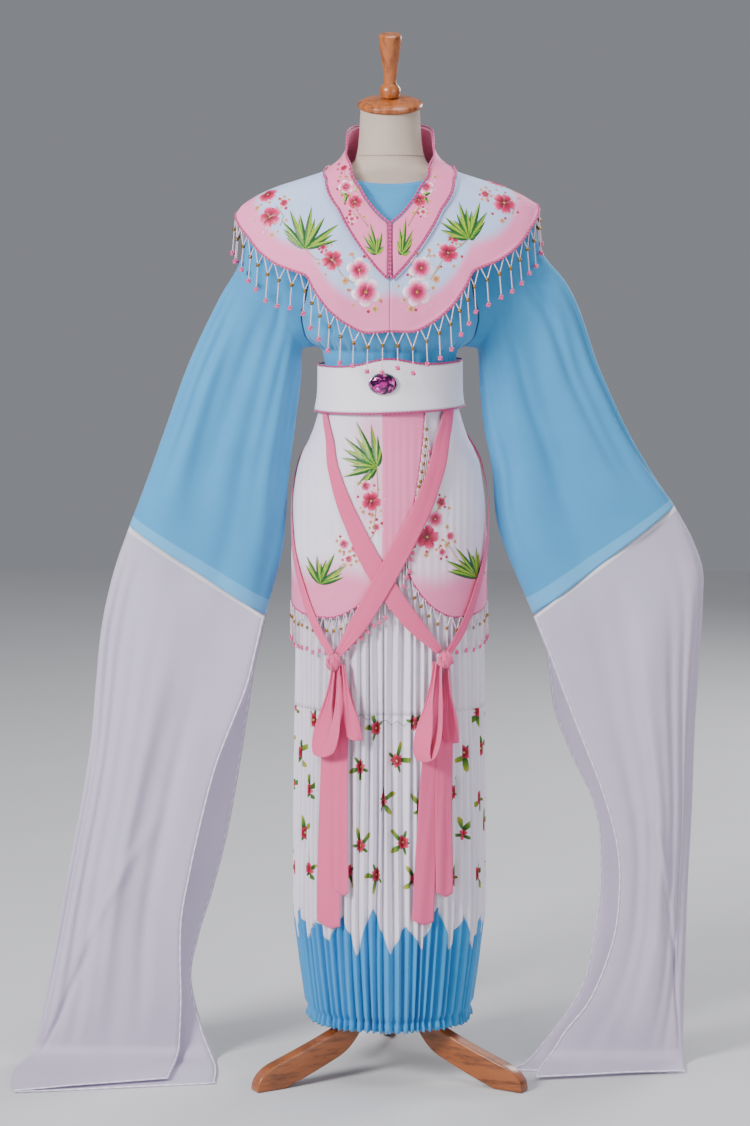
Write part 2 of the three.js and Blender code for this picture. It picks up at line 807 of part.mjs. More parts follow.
function panelPlace(rows, sign) {
  const edges = panelEdges(rows, 1);
  return (u, v) => {
    const centre = edges.centre(v);
    const side = edges.side(v);
    const centreAngle = rows[0].centreX === undefined ? sided(centre.angle, sign) : centre.angle;
    return {
      angle: mix(centreAngle, sided(side.angle, sign), u),
      z: mix(centre.z, side.z, u) - 7 * Math.sin(Math.PI * u) * smoothstep(v, 0.86, 1),
    };
  };
}

const PANELS = [
  ["hip_panel_back_right", PANEL_BACK, -1, PANEL_LIFT.back, 1],
  ["hip_panel_back_left", PANEL_BACK, 1, PANEL_LIFT.back, 1],
  ["hip_panel_front_left", PANEL_LEFT, 1, PANEL_LIFT.left, 5],
  ["hip_panel_front_right", PANEL_RIGHT, -1, PANEL_LIFT.right, 1],
];

function addHipPanels() {
  for (const [name, rows, sign, lift, cordFrom] of PANELS) {
    const place = panelPlace(rows, sign);
    const at = (height) => patchGrid(skirtSurface, place, PANEL_COLUMNS, PANEL_ROWS, lift + height);
    addPiece(name, wall(at(PANEL_WALL), at(0), false), COLOUR.pink);
    const fringe = panelFringe(at(PANEL_WALL / 2), cordFrom);
    addPiece(name.replace("panel", "fringe"), fringe, COLOUR.bead, 0.4);
  }
}

// The cord along a panel's free edges, and the bead strands below its lobe
function panelFringe(grid, from) {
  const [bottom, side] = [grid.length - 1, grid[0].length - 1];
  const spots = [];
  for (let row = from; row < bottom; row++) spots.push([row, 0, row, 1]);
  spots.push([bottom, 0, bottom - 1, 1]);
  for (let column = 1; column < side; column++) spots.push([bottom, column, bottom - 1, column]);
  spots.push([bottom, side, bottom - 1, side - 1]);
  for (let row = bottom - 1; row > bottom - 3; row--) spots.push([row, side, row, side - 1]);
  const line = besideEdge(grid, spots, PIPING + SEAM_GAP + 0.8);
  const hanging = line.slice(bottom - from - 2);
  return fused([cord(line, PIPING, 3), ...strands(hanging, { drop: 56, out: 2.5 })]);
}

// Bead strands that hang from a line of points, with their roots inside the cord there
function strands(line, { drop, out }) {
  const path = new THREE.CatmullRomCurve3(line, false, "catmullrom", 0.1);
  const count = Math.max(1, Math.round(path.getLength() / STRAND_PITCH));
  return Array.from({ length: count }, (_, i) => {
    const root = path.getPointAt((i + 0.5) / count);
    const end = root.clone().add(new THREE.Vector3(root.x, root.y, 0).normalize().multiplyScalar(out));
    end.z -= drop;
    return cord([root, end], STRAND, 3);
  });
}

// Girdle: a stiff band with a raised centre front, piping on both edges and an oval stone
const GIRDLE_WALL = 1.6;
const GIRDLE_TILT = 0.034; // the wearer's left side sits higher

function girdleEdge(angle, top) {
  const x = 122 * Math.cos(radians(angle));
  const front = Math.max(0, Math.sin(radians(angle)));
  const peak = top ? 13 * Math.exp(-(((x + 4) / 46) ** 2)) * front : 0;
  return (top ? GIRDLE_TOP : GIRDLE_BOTTOM) + peak + GIRDLE_TILT * x - 3 * front;
}

function addGirdle() {
  const closure = 0.4; // degrees left open at the centre back
  const turn = (u) => mix(-90 + closure, 270 - closure, u);
  const place = (u, v) => {
    const angle = turn(u);
    return { angle, z: mix(girdleEdge(angle, false), girdleEdge(angle, true), v) };
  };
  const surface = girdleSurface;
  const at = (lift) => patchGrid(surface, place, 28, 2, lift);
  addPiece("girdle", wall(at(GIRDLE_WALL), at(0), false), COLOUR.white, 0.45);
  for (const [name, row, inRow] of [
    ["girdle_piping_top", 2, 1],
    ["girdle_piping_bottom", 0, 1],
  ]) {
    const spots = Array.from({ length: 29 }, (_, i) => [row, i, inRow, i]);
    const line = besideEdge(at(GIRDLE_WALL), spots, PIPING + SEAM_GAP);
    addPiece(name, cord(line, PIPING, 4), COLOUR.rose, 0.5);
  }
  addStone(surface);
}

const girdleSurface = ringSurface(
  table("z w f b", [
    [1150, 127.8, 100.8, 98],
    [1190, 122.1, 99.1, 95.5],
    [1260, 121.5, 104.5, 97.5],
  ]),
);

function addStone(surface) {
  const [halfWidth, halfHeight, height] = [23, 17.5, 9];
  const centre = { x: -11, z: 1204 };
  const angle = angleAtX(surface, centre.x, centre.z);
  const setting = turned(
    [
      [0, 0],
      [1.04, 0],
      [1.07, 0.14],
      [1.0, 0.3],
      [0, 0.3],
    ].map(([radius, z]) => [radius * halfWidth, z * height]),
    16,
  );
  const stone = turned(
    [
      [0, 0.34],
      [0.97, 0.34],
      [0.94, 0.5],
      [0.72, 0.84],
      [0.46, 1],
      [0, 1],
    ].map(([radius, z]) => [radius * halfWidth, z * height]),
    12,
  );
  const seat = lifted(surface, angle, centre.z, GIRDLE_WALL + 1.6);
  for (const [name, solid, colour, roughness, metalness] of [
    ["stone_setting", setting, COLOUR.silver, 0.3, 0.9],
    ["girdle_stone", stone, COLOUR.gem, 0.1, 0],
  ]) {
    solid.scale(1, halfHeight / halfWidth, 1);
    const mesh = addPiece(name, solid, colour, roughness, metalness);
    mesh.rotation.x = Math.PI / 2 + 0.05; // the band leans out a little towards its top
    mesh.position.copy(seat);
  }
}

// Cape: two fronts and a back with lobed hems, and a shawl collar that stands round the neck
const CAPE_HEM = table("angle z", [
  [-90, 1292],
  [-83, 1290],
  [-77, 1303],
  [-70, 1331],
  [-65, 1362],
  [-61, 1390],
  [-58, 1395],
  [-50, 1407],
  [-40, 1429],
  [-29, 1459],
  [-14, 1484],
  [0, 1496],
  [14, 1484],
  [29, 1459],
  [40, 1429],
  [50, 1407],
  [58, 1395],
  [61, 1390],
  [65, 1362],
  [70, 1331],
  [77, 1305],
  [83, 1293],
  [90, 1295],
]);
const CAPE_SWAY = 0.03; // the cape has slipped down a little on the wearer's right
const COLLAR = table("angle inner outer", [
  [-90, 1632, 1562],
  [-45, 1631, 1562],
  [-10, 1622, 1562],
  [0, 1612, 1561],
  [14, 1592, 1559],
  [22, 1582, 1556],
  [47, 1564, 1543],
  [56, 1555, 1533],
  [70, 1537, 1497],
  [75, 1527, 1466],
  [81, 1504, 1426],
  [86, 1480, 1397],
  [90, 1466, 1377],
]);
const collarInner = curve(COLLAR, "inner", "angle");
const collarOuter = curve(COLLAR, "outer", "angle");
const capeHemCurve = curve(CAPE_HEM, "z", "angle");

function capeHem(angle, sign) {
  const x = sign * 260 * Math.cos(radians(angle));
  return capeHemCurve(angle) + CAPE_SWAY * x;
}

const QUARTER = 12; // columns in a quarter turn, the same in the cape and the collar on it
const COLLAR_LIFT = 1.8;
const CAPE_PIECES = [
  ["cape_front_right", -1, 0.15, 89.94, QUARTER],
  ["cape_front_left", 1, 0.15, 89.94, QUARTER],
  ["cape_back", 1, -180.15 + 0.3, -0.15, 2 * QUARTER],
];

function addCape() {
  const tuck = 5; // the cape runs this far under the collar's edge
  for (const [name, sign, from, to, columns] of CAPE_PIECES) {
    const place = (u, v) => {
      const angle = mix(from, to, u);
      const folded = angle < -90 ? -180 - angle : angle;
      const side = angle < -90 ? -1 : sign;
      const z = mix(capeHem(folded, side), collarOuter(folded) + tuck, v);
      return { angle: sided(angle, sign), z };
    };
    const at = (lift) => patchGrid(shawlSurface, place, columns, 4, lift);
    addPiece(name, wall(at(0), at(-CLOTH), false), COLOUR.pink);
    const spots = Array.from({ length: columns + 1 }, (_, i) => [0, i, 1, i]);
    const line = besideEdge(at(-CLOTH / 2), spots, PIPING + SEAM_GAP);
    line[0].lerp(line[1], 0.16);
    line[columns].lerp(line[columns - 1], 0.16);
    const fringe = fused([cord(line, PIPING, 3), ...strands(line, { drop: 66, out: 5 })]);
    addPiece(name.replace("cape", "cape_fringe"), fringe, COLOUR.bead, 0.4);
  }
}

function addCollar() {
  const columns = 2 * QUARTER;
  for (const [side, sign] of SIDES) {
    const centreGap = 1.6; // degrees left at the centre front for the piping
    const place = (u, v) => {
      const angle = Math.min(mix(-89.9, 89.94, u), 90 - centreGap);
      return { angle: sided(angle, sign), z: mix(collarOuter(angle), collarInner(angle), v) };
    };
    const at = (lift) => patchGrid(shawlSurface, place, columns, 2, lift);
    addPiece("collar_" + side, wall(at(COLLAR_LIFT + 1.4), at(COLLAR_LIFT), false), COLOUR.pink);
    const inward = Array.from({ length: columns }, (_, i) => [2, i, 1, i]);
    const outward = Array.from({ length: columns }, (_, i) => [0, i, 1, i]).reverse();
    const corners = [
      [2, columns, 1, columns - 1],
      [0, columns, 1, columns - 1],
    ];
    const line = besideEdge(at(COLLAR_LIFT + 3.1), [...inward, ...corners, ...outward], PIPING + 0.8);
    addPiece("collar_piping_" + side, cord(line, PIPING, 4), COLOUR.rose, 0.5);
  }
}

// Ribbons: two straps cross on the front, two come round the hips, and each pair is tied in a bow
const STRAP_WALL = 1;
const STRAP_LIFT = 9.2;
const STRAP_RIGHT = table("x z width", [
  [-104, 1172, 13],
  [-95, 1096, 17],
  [-64, 980, 27],
  [-26, 900, 31],
  [32, 812, 28],
  [80, 755.5, 12],
]);
const STRAP_LEFT = table("x z width", [
  [94, 1176, 27],
  [78, 1080, 29],
  [44, 980, 30],
  [0, 894, 31],
  [-48, 806, 28],
  [-81, 751.5, 12],
]);
const HIP_STRAP = table("angle z width", [
  [-34, 1166, 14],
  [-18, 1100, 14],
  [-2, 1020, 14],
  [12, 940, 15],
  [27, 868, 16],
  [43, 796, 16],
  [55.6, 750, 11],
]);

// A strap along rows of angle or x, height and width on the skirt
function strap(rows, lift, count) {
  const keyed = rows.map((row, i) => ({
    ...row,
    angle: row.angle ?? angleAtX(skirtSurface, row.x, row.z),
    share: i / (rows.length - 1),
  }));
  const [angle, z, width] = ["angle", "z", "width"].map((key) => curve(keyed, key, "share"));
  const perDegree = 2.6; // mm round the hips
  const place = (u, v) => {
    const [before, after] = [Math.max(0, v - 0.02), Math.min(1, v + 0.02)];
    const run = perDegree * (angle(after) - angle(before));
    const along = new THREE.Vector2(run, z(after) - z(before)).normalize();
    const side = (u - 0.5) * width(v);
    return { angle: angle(v) - (along.y * side) / perDegree, z: z(v) + along.x * side };
  };
  return patch(skirtSurface, place, 2, count, lift, lift + STRAP_WALL);
}

const BOW_LIFT = 18.5;
const KNOT_LIFT = 17;
const KNOT_PROFILE = [
  [0, -12],
  [8, -12],
  [11.5, -6],
  [11.5, 6],
  [8, 12],
  [0, 12],
];
const BOWS = {
  right: {
    sign: -1,
    knot: { x: -87, z: 738 },
    loops: [
      { topX: -92, bottomX: -114, bottomZ: 578, width: 40, twist: 0.45, spread: 12 },
      { topX: -74.8, bottomX: -54, bottomZ: 606, width: 28, twist: -0.25, spread: 9 },
    ],
    tails: [
      { topX: -92, bottomX: -103, bottomZ: 278, width: 40, lift: 0.9 },
      { topX: -80, bottomX: -82, bottomZ: 338, width: 26, lift: 3 },
    ],
  },
  left: {
    sign: 1,
    knot: { x: 86, z: 742 },
    loops: [
      { topX: 78, bottomX: 52, bottomZ: 578, width: 38, twist: 0.45, spread: 12 },
      { topX: 93, bottomX: 108, bottomZ: 598, width: 28, twist: -0.4, spread: 10 },
    ],
    tails: [
      { topX: 80, bottomX: 56, bottomZ: 288, width: 36, lift: 0.9 },
      { topX: 93, bottomX: 90, bottomZ: 334, width: 28, lift: 3 },
    ],
  },
};

function frontPoint(x, z, lift) {
  return lifted(skirtSurface, angleAtX(skirtSurface, x, z), z, lift);
}

// A hanging loop: the ribbon goes down in front, turns at the bottom and comes back up behind
function bowLoop(loop, top) {
  const steps = 10;
  const grid = Array.from({ length: steps + 1 }, (_, i) => {
    const turn = i / steps;
    const fall = Math.sin(Math.PI * turn);
    const z = mix(top, loop.bottomZ, fall ** 0.7);
    const wide = loop.width * mix(0.34, 1, smoothstep(fall, 0, 0.8));
    const x = mix(loop.topX, loop.bottomX, fall) + Math.cos(Math.PI * turn) * 5 * Math.sign(loop.twist);
    const depth = BOW_LIFT + 7 * Math.cos(Math.PI * turn) * mix(0.45, 1, fall) * (loop.spread / 9);
    return Array.from({ length: 3 }, (_, k) => {
      const side = (k / 2 - 0.5) * wide;
      const point = frontPoint(x, z, 0);
      point.x += side;
      point.y -= depth + loop.twist * side * 0.5 * Math.sin(Math.PI * turn) + 1.5 * (k % 2);
      point.z += 0.12 * side * Math.cos(Math.PI * turn);
      return point;
    });
  });
  return wall(grid, offsetGrid(grid, false, 1), false);
}

function bowTail(tail, top) {
  const place = (u, v) => {
    const wide = tail.width * mix(0.42, 1, smoothstep(v, 0, 0.35));
    const point = 16 * Math.abs(u - 0.62) * smoothstep(v, 0.93, 1);
    const z = mix(top, tail.bottomZ, v) + point;
    const x = mix(tail.topX, tail.bottomX, v) + (u - 0.5) * wide;
    return { angle: angleAtX(skirtSurface, x, z), z };
  };
  return patch(skirtSurface, place, 2, 6, tail.lift, tail.lift + STRAP_WALL);
}

function addRibbons() {
  addPiece("strap_from_right", strap(STRAP_RIGHT, STRAP_LIFT, 9), COLOUR.ribbon);
  addPiece("strap_from_left", strap(STRAP_LEFT, STRAP_LIFT + 2.2, 9), COLOUR.ribbon);
  for (const [side, sign] of SIDES) {
    const rows = HIP_STRAP.map((row) => ({ ...row, angle: sided(row.angle, sign) }));
    addPiece("hip_strap_" + side, strap(rows, STRAP_LIFT, 7), COLOUR.ribbon);
  }
  for (const [side, bow] of Object.entries(BOWS)) {
    const knot = turned(KNOT_PROFILE, 8);
    knot.scale(1, 0.8, 1);
    const seat = frontPoint(bow.knot.x, bow.knot.z, KNOT_LIFT);
    knot.translate(seat.x, seat.y, seat.z);
    addPiece("bow_knot_" + side, knot, COLOUR.ribbon);
    bow.loops.forEach((loop, i) =>
      addPiece(`bow_loop_${side}_${i + 1}`, bowLoop(loop, bow.knot.z - 12.7), COLOUR.ribbon),
    );
    bow.tails.forEach((tail, i) =>
      addPiece(`bow_tail_${side}_${i + 1}`, bowTail(tail, bow.knot.z - 14), COLOUR.ribbon),
    );
  }
}

addStand();
addBlouse();
addSleeves();
addWaterSleeves();
addSkirt();
addHipPanels();
addGirdle();
addCape();
addCollar();
addRibbons();

// The stand axis is set off to one side, so that the origin is under the middle of the whole outline
group.updateMatrixWorld(true);
const extent = new THREE.Box3().setFromObject(group, true);
const middle = extent.getCenter(new THREE.Vector3());
group.position.set(-middle.x, -middle.y, -extent.min.z);

export default group;
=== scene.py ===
"""An opera robe with long water sleeves, dressed on a form with three curved wooden legs.

Cloth is worked out in millimetres about the stand's axis, with angle 0 at the wearer's left side, 90 at the
front, 180 at the right side and 270 at the back, and moved into the frame, in metres, as its mesh is made.
"""

import logging
import math
from dataclasses import dataclass
from enum import Enum
from typing import Callable, Iterable, Optional, Sequence

import bpy
import numpy as np
from mathutils import Matrix, Vector
from mathutils.bvhtree import BVHTree


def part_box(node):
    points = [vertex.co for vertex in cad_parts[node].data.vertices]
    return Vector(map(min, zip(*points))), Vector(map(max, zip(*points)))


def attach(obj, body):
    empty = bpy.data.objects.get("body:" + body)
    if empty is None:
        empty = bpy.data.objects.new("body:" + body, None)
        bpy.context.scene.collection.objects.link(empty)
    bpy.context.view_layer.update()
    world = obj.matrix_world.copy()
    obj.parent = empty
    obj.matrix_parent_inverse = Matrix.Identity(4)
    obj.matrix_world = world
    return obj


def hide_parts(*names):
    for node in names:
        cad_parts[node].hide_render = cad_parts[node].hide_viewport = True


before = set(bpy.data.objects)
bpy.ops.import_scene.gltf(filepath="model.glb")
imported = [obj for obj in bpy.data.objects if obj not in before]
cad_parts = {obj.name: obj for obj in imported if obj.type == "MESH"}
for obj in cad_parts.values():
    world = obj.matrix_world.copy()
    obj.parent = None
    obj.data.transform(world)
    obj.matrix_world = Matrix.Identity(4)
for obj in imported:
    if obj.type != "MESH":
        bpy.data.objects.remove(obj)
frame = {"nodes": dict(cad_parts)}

LOG = logging.getLogger("opera_robe")
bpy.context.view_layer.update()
MM = 0.001
POLE_LOW, POLE_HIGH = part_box("pole")
STAND = np.array([(POLE_LOW.x + POLE_HIGH.x) / 2, (POLE_LOW.y + POLE_HIGH.y) / 2, 0.0])
BODY_NAME = "root"
SEED = 20

Array = np.ndarray
Rows = Sequence[Sequence[float]]
Socket = bpy.types.NodeSocket


class Side(Enum):
    """The wearer's sides, with the sign of x on each."""

    RIGHT = -1
    LEFT = 1

    @property
    def word(self) -> str:
        """The side's name in lower case."""
        return self.name.lower()


class Held(Enum):
    DRAPED = "draped"
    HUNG = "hung"
    GATHERED = "gathered"
    LAID = "laid"
    FOLDED = "folded"
    STRETCHED = "stretched"


# Curves and surfaces


@dataclass(frozen=True)
class Curve:
    """A smooth curve through the rows of a table, which never overshoots a row."""

    at: Array
    value: Array
    slope: Array

    @classmethod
    def through(cls, rows: Rows, column: int, by: int = 0) -> "Curve":
        """Make the curve of one column.

        Args:
            rows: The table.
            column: The column that the curve gives.
            by: The column that it is read by.

        Returns:
            The curve.
        """
        table = sorted(rows, key=lambda row: row[by])
        at = np.array([row[by] for row in table], float)
        value = np.array([row[column] for row in table], float)
        rise = np.diff(value) / np.diff(at)
        before, after = np.r_[rise[0], rise], np.r_[rise, rise[-1]]
        both = before + after
        product = before * after
        slope = np.where(product > 0, 2 * product / np.where(both == 0, 1, both), 0)
        return cls(at, value, slope)

    def __call__(self, wanted: Array) -> Array:
        """The curve's value at each wanted place.

        Args:
            wanted: The places.

        Returns:
            The values.
        """
        v = np.clip(np.asarray(wanted, float), self.at[0], self.at[-1])
        i = np.clip(np.searchsorted(self.at, v, side="right") - 1, 0, len(self.at) - 2)
        span = self.at[i + 1] - self.at[i]
        t = (v - self.at[i]) / span
        cubic = t * t * (3 - 2 * t)
        bend = span * t * (1 - t) * ((1 - t) * self.slope[i] - t * self.slope[i + 1])
        return self.value[i] * (1 - cubic) + self.value[i + 1] * cubic + bend


def smoothstep(value: Array, low: float, high: float) -> Array:
    """A soft step from 0 at low to 1 at high."""
    t = np.clip((np.asarray(value, float) - low) / (high - low), 0, 1)
    return t * t * (3 - 2 * t)


def mix(a: Array, b: Array, share: Array) -> Array:
    """The value that is a share of the way from a to b."""
    return a + (b - a) * share


def unit(vectors: Array) -> Array:
    """Vectors scaled to length 1."""
    length = np.linalg.norm(vectors, axis=-1, keepdims=True)
    return vectors / np.where(length < 1e-9, 1, length)


class Surface:
    """A stack of ellipses about the stand's axis, each with a half width, a front depth and a back depth."""

    def __init__(self, rows: Rows, ease: Optional[Rows] = None) -> None:
        """Keep the three curves.

        Args:
            rows: Height, half width, front depth and back depth.
            ease: The same columns, added to the first.
        """
        self.base = [Curve.through(rows, k) for k in (1, 2, 3)]
        self.ease = [Curve.through(ease, k) for k in (1, 2, 3)] if ease else []

    def size(self, kind: int, z: Array) -> Array:
        """The half width (0), front depth (1) or back depth (2) at a height."""
        return self.base[kind](z) + (self.ease[kind](z) if self.ease else 0)

    def point(self, angle: Array, z: Array) -> Array:
        """Points of the surface.

        Args:
            angle: Degrees round the axis.
            z: Heights in millimetres.

        Returns:
            Points, with x, y and z last.
        """
        angle, z = np.broadcast_arrays(np.asarray(angle, float), np.asarray(z, float))
        a = np.radians(angle)
        depth = np.where(np.sin(a) >= 0, self.size(1, z), self.size(2, z))
        return np.stack([self.size(0, z) * np.cos(a), -depth * np.sin(a), z], -1)

    def lifted(self, angle: Array, z: Array, lift: Array) -> Array:
        """Points at a distance from the surface along its normals.

        Args:
            angle: Degrees round the axis.
            z: Heights in millimetres.
            lift: Distances in millimetres.

        Returns:
            Points, with x, y and z last.
        """
        step = 0.6
        turn = self.point(np.add(angle, step), z) - self.point(np.subtract(angle, step), z)
        up = self.point(angle, np.add(z, step)) - self.point(angle, np.subtract(z, step))
        normal = unit(np.cross(up, turn))
        return self.point(angle, z) + normal * np.asarray(lift, float)[..., None]

    def angle_at(self, x: Array, z: Array) -> Array:
        """The angle at which the front of the surface passes x."""
        return np.degrees(np.arccos(np.clip(np.divide(x, self.size(0, z)), -1, 1)))


# Height, half width, front depth and back depth, or what is added to them
BODY_ROWS = [
    (80, 133, 112, 110), (124, 138, 115, 114), (213, 150, 121, 120), (302, 158, 124, 123),
    (478, 157, 122, 122), (654, 154, 118, 119), (800, 149, 108, 114), (868, 146, 102, 110),
    (930, 147, 99, 108), (985, 147, 98, 108), (1060, 138, 96, 101), (1120, 117, 87, 87), (1190, 103, 77, 75),
    (1250, 111, 89, 81), (1330, 134, 116, 92), (1390, 142, 108, 96), (1440, 156, 92, 96), (1480, 175, 76, 88),
    (1505, 186, 66, 77), (1526, 184, 60, 70), (1539.6, 145, 58, 66), (1553.5, 105, 57, 63),
    (1562.5, 79, 57, 61), (1576, 63, 56, 59), (1600, 57, 54, 56), (1640, 54, 52, 53), (1690, 52, 50, 51),
]
BLOUSE_EASE = [
    (1150, 0, 0, 0), (1256, 0, 0, 0), (1268, 14, 10, 7), (1284, 25, 17, 14), (1305, 26, 16, 14),
    (1350, 15, 10, 11), (1400, 8, 8, 8), (1450, 3, 4, 4), (1500, 0, 0, 0), (1600, 0, 0, 0),
]
# The same, and the depth of the pleats
SKIRT_EASE = [
    (80, 11, 10, 10, 9), (213, 11, 10, 10, 8), (302, 12, 10, 10, 8), (654, 11, 10, 10, 7.5),
    (800, 14, 14, 12, 7), (868, 15.5, 16, 13, 6.5), (985, 12, 13, 12, 5.5), (1060, 11, 11.5, 10.5, 4),
    (1120, 7, 7, 7, 1.6), (1160, 5.6, 5.6, 5.6, 0.5), (1230, 5.2, 5.2, 5.2, 0.4),
]
# Height, half width, front depth and back depth
SHAWL_ROWS = [
    (1280, 292, 138, 126), (1350, 290, 137, 125), (1400, 285, 128, 120), (1440, 277, 110, 112),
    (1470, 268, 97, 104), (1496, 253, 84, 93), (1514, 228, 77, 88), (1530.8, 191, 71, 82),
    (1545.6, 145, 68, 77), (1557.4, 110, 68, 75), (1566.5, 93, 67, 72), (1578, 80, 66, 69),
    (1592, 72, 66, 68), (1612, 68, 65, 66), (1650, 65, 64, 65),
]
GIRDLE_ROWS = [(1150, 127.8, 100.8, 98), (1190, 122.1, 99.1, 95.5), (1260, 121.5, 104.5, 97.5)]

BODY = Surface(BODY_ROWS)
BLOUSE = Surface(BODY_ROWS, BLOUSE_EASE)
SKIRT = Surface(BODY_ROWS, SKIRT_EASE)
SHAWL = Surface(SHAWL_ROWS)
WAISTBAND = Surface(GIRDLE_ROWS)


def sided(angle: Array, side: Side) -> Array:
    """An angle given for the wearer's left, on either side."""
    return angle if side is Side.LEFT else 180 - np.asarray(angle, float)


def to_frame(points: Array) -> Array:
    """Points about the stand's axis, in millimetres, as points of the frame, in metres."""
    return np.asarray(points, float) * MM + STAND


def spline(values: Array, at: Array, wanted: Array) -> Array:
    """A smooth line of points through given ones.

    Args:
        values: The given points, along the first axis.
        at: Where each is along the line.
        wanted: Where points are wanted.

    Returns:
        The wanted points, along the first axis.
    """
    shape = (-1,) + (1,) * (values.ndim - 1)
    gap = np.diff(at).reshape(shape)
    rise = np.diff(values, axis=0) / gap
    slope = np.empty_like(values, float)
    slope[0], slope[-1] = rise[0], rise[-1]
    slope[1:-1] = (rise[:-1] * gap[1:] + rise[1:] * gap[:-1]) / (gap[1:] + gap[:-1])
    i = np.clip(np.searchsorted(at, wanted, side="right") - 1, 0, len(at) - 2)
    span = (at[i + 1] - at[i]).reshape(shape)
    t = ((wanted - at[i])).reshape(shape) / span
    low, high = values[i], values[i + 1]
    cubic = t * t * (3 - 2 * t)
    bend = span * t * (1 - t) * ((1 - t) * slope[i] - t * slope[i + 1])
    return low * (1 - cubic) + high * cubic + bend


def more_rows(grid: Array, count: int) -> Array:
    """A grid with more rows, through the same points.

    Args:
        grid: The grid.
        count: How many rows it gets.

    Returns:
        The finer grid.
    """
    steps = np.linalg.norm(np.diff(grid, axis=0), axis=-1).mean(axis=1)
    at = np.r_[0, np.cumsum(steps)]
    return spline(grid, at, np.linspace(0, at[-1], count))


def along(points: Array, closed: bool = False) -> Array:
    """The distance of each point from the first, along a line of points."""
    line = np.concatenate([points, points[:1]]) if closed else points
    return np.r_[0, np.cumsum(np.linalg.norm(np.diff(line, axis=0), axis=-1))]


def evenly(points: Array, count: int) -> Array:
    """A line of points with another number of points, evenly apart.

    Args:
        points: The line's points.
        count: How many points are wanted.

    Returns:
        The new points.
    """
    at = along(points)
    wanted = np.linspace(0, at[-1], count)
    return np.stack([np.interp(wanted, at, points[:, k]) for k in range(3)], -1)


def beside(edge: Array, inside: Array, reach: float) -> Array:
    """Points just off an edge, on the side away from the cloth.

    Args:
        edge: The points of the edge.
        inside: For each, a point of the cloth a little way in.
        reach: How far off the edge the points lie.

    Returns:
        The points.
    """
    tangent = unit(np.gradient(edge, axis=0))
    away = edge - inside
    away = away - (away * tangent).sum(-1, keepdims=True) * tangent
    return edge + unit(away) * reach


# Folds


@dataclass(frozen=True)
class Crease:
    """A soft trough between two places on the cloth, or a ridge if its depth is below 0.

    Places are shares across and along the piece; width and depth are in millimetres.
    """

    start: tuple[float, float]
    end: tuple[float, float]
    width: float
    depth: float


def creased(grid: Array, creases: Iterable[Crease], closed: bool = False) -> Array:
    """How far creases move each point of a grid outwards.

    Args:
        grid: The cloth's points, in rows.
        creases: The creases.
        closed: Whether the last column joins the first.

    Returns:
        Distances in millimetres, below 0 in a trough.
    """
    rows, columns = grid.shape[:2]
    wide = max(along(row, closed)[-1] for row in grid[:: max(1, rows // 8)])
    long = along(grid[:, columns // 2])[-1]
    u, v = np.meshgrid(
        np.arange(columns) / (columns if closed else columns - 1), np.linspace(0, 1, rows)
    )
    total = np.zeros((rows, columns))
    for crease in creases:
        for turn in (-1, 0, 1) if closed else (0,):
            start = np.array([(crease.start[0] + turn) * wide, crease.start[1] * long])
            run = np.array([(crease.end[0] + turn) * wide, crease.end[1] * long]) - start
            x, y = u * wide - start[0], v * long - start[1]
            share = np.clip((x * run[0] + y * run[1]) / (run @ run), -0.15, 1.15)
            off = np.hypot(x - share * run[0], y - share * run[1])
            taper = smoothstep(share, -0.15, 0.25) * (1 - smoothstep(share, 0.6, 1.15))
            total -= crease.depth * taper * np.exp(-((off / crease.width) ** 2))
    return total


def outward(grid: Array, hub: Array, closed: bool = False) -> Array:
    """The unit normals of a grid that point away from its hub.

    Args:
        grid: The grid.
        hub: For each point, what its normal points away from.
        closed: Whether the last column joins the first.

    Returns:
        The normals.
    """
    if closed:
        across = np.roll(grid, -1, axis=1) - np.roll(grid, 1, axis=1)
    else:
        across = np.gradient(grid, axis=1)
    normal = unit(np.cross(across, np.gradient(grid, axis=0)))
    return normal * (1 if (normal * (grid - hub)).sum() > 0 else -1)


def axis_hub(grid: Array) -> Array:
    """For each point, the stand's axis at its height."""
    return grid * np.array([0, 0, 1.0])


def row_hub(grid: Array) -> Array:
    """For each point, the middle of its row."""
    return np.broadcast_to(grid.mean(axis=1, keepdims=True), grid.shape)


def pushed(
    grid: Array, distance: Array, hub: Callable[[Array], Array], closed: bool = False
) -> Array:
    """A grid moved along its outward normals."""
    return grid + outward(grid, hub(grid), closed) * np.asarray(distance)[..., None]


def wander(count: int, rng: np.random.Generator, low: float, high: float) -> Array:
    """Random numbers between two limits."""
    return low + (high - low) * rng.random(count)


# Materials


def linear(code: int) -> tuple[float, ...]:
    """A colour written as 0xRRGGBB, in Blender's linear numbers."""
    parts = [((code >> shift) & 255) / 255 for shift in (16, 8, 0)]
    return tuple(p / 12.92 if p <= 0.04045 else ((p + 0.055) / 1.055) ** 2.4 for p in parts) + (1.0,)


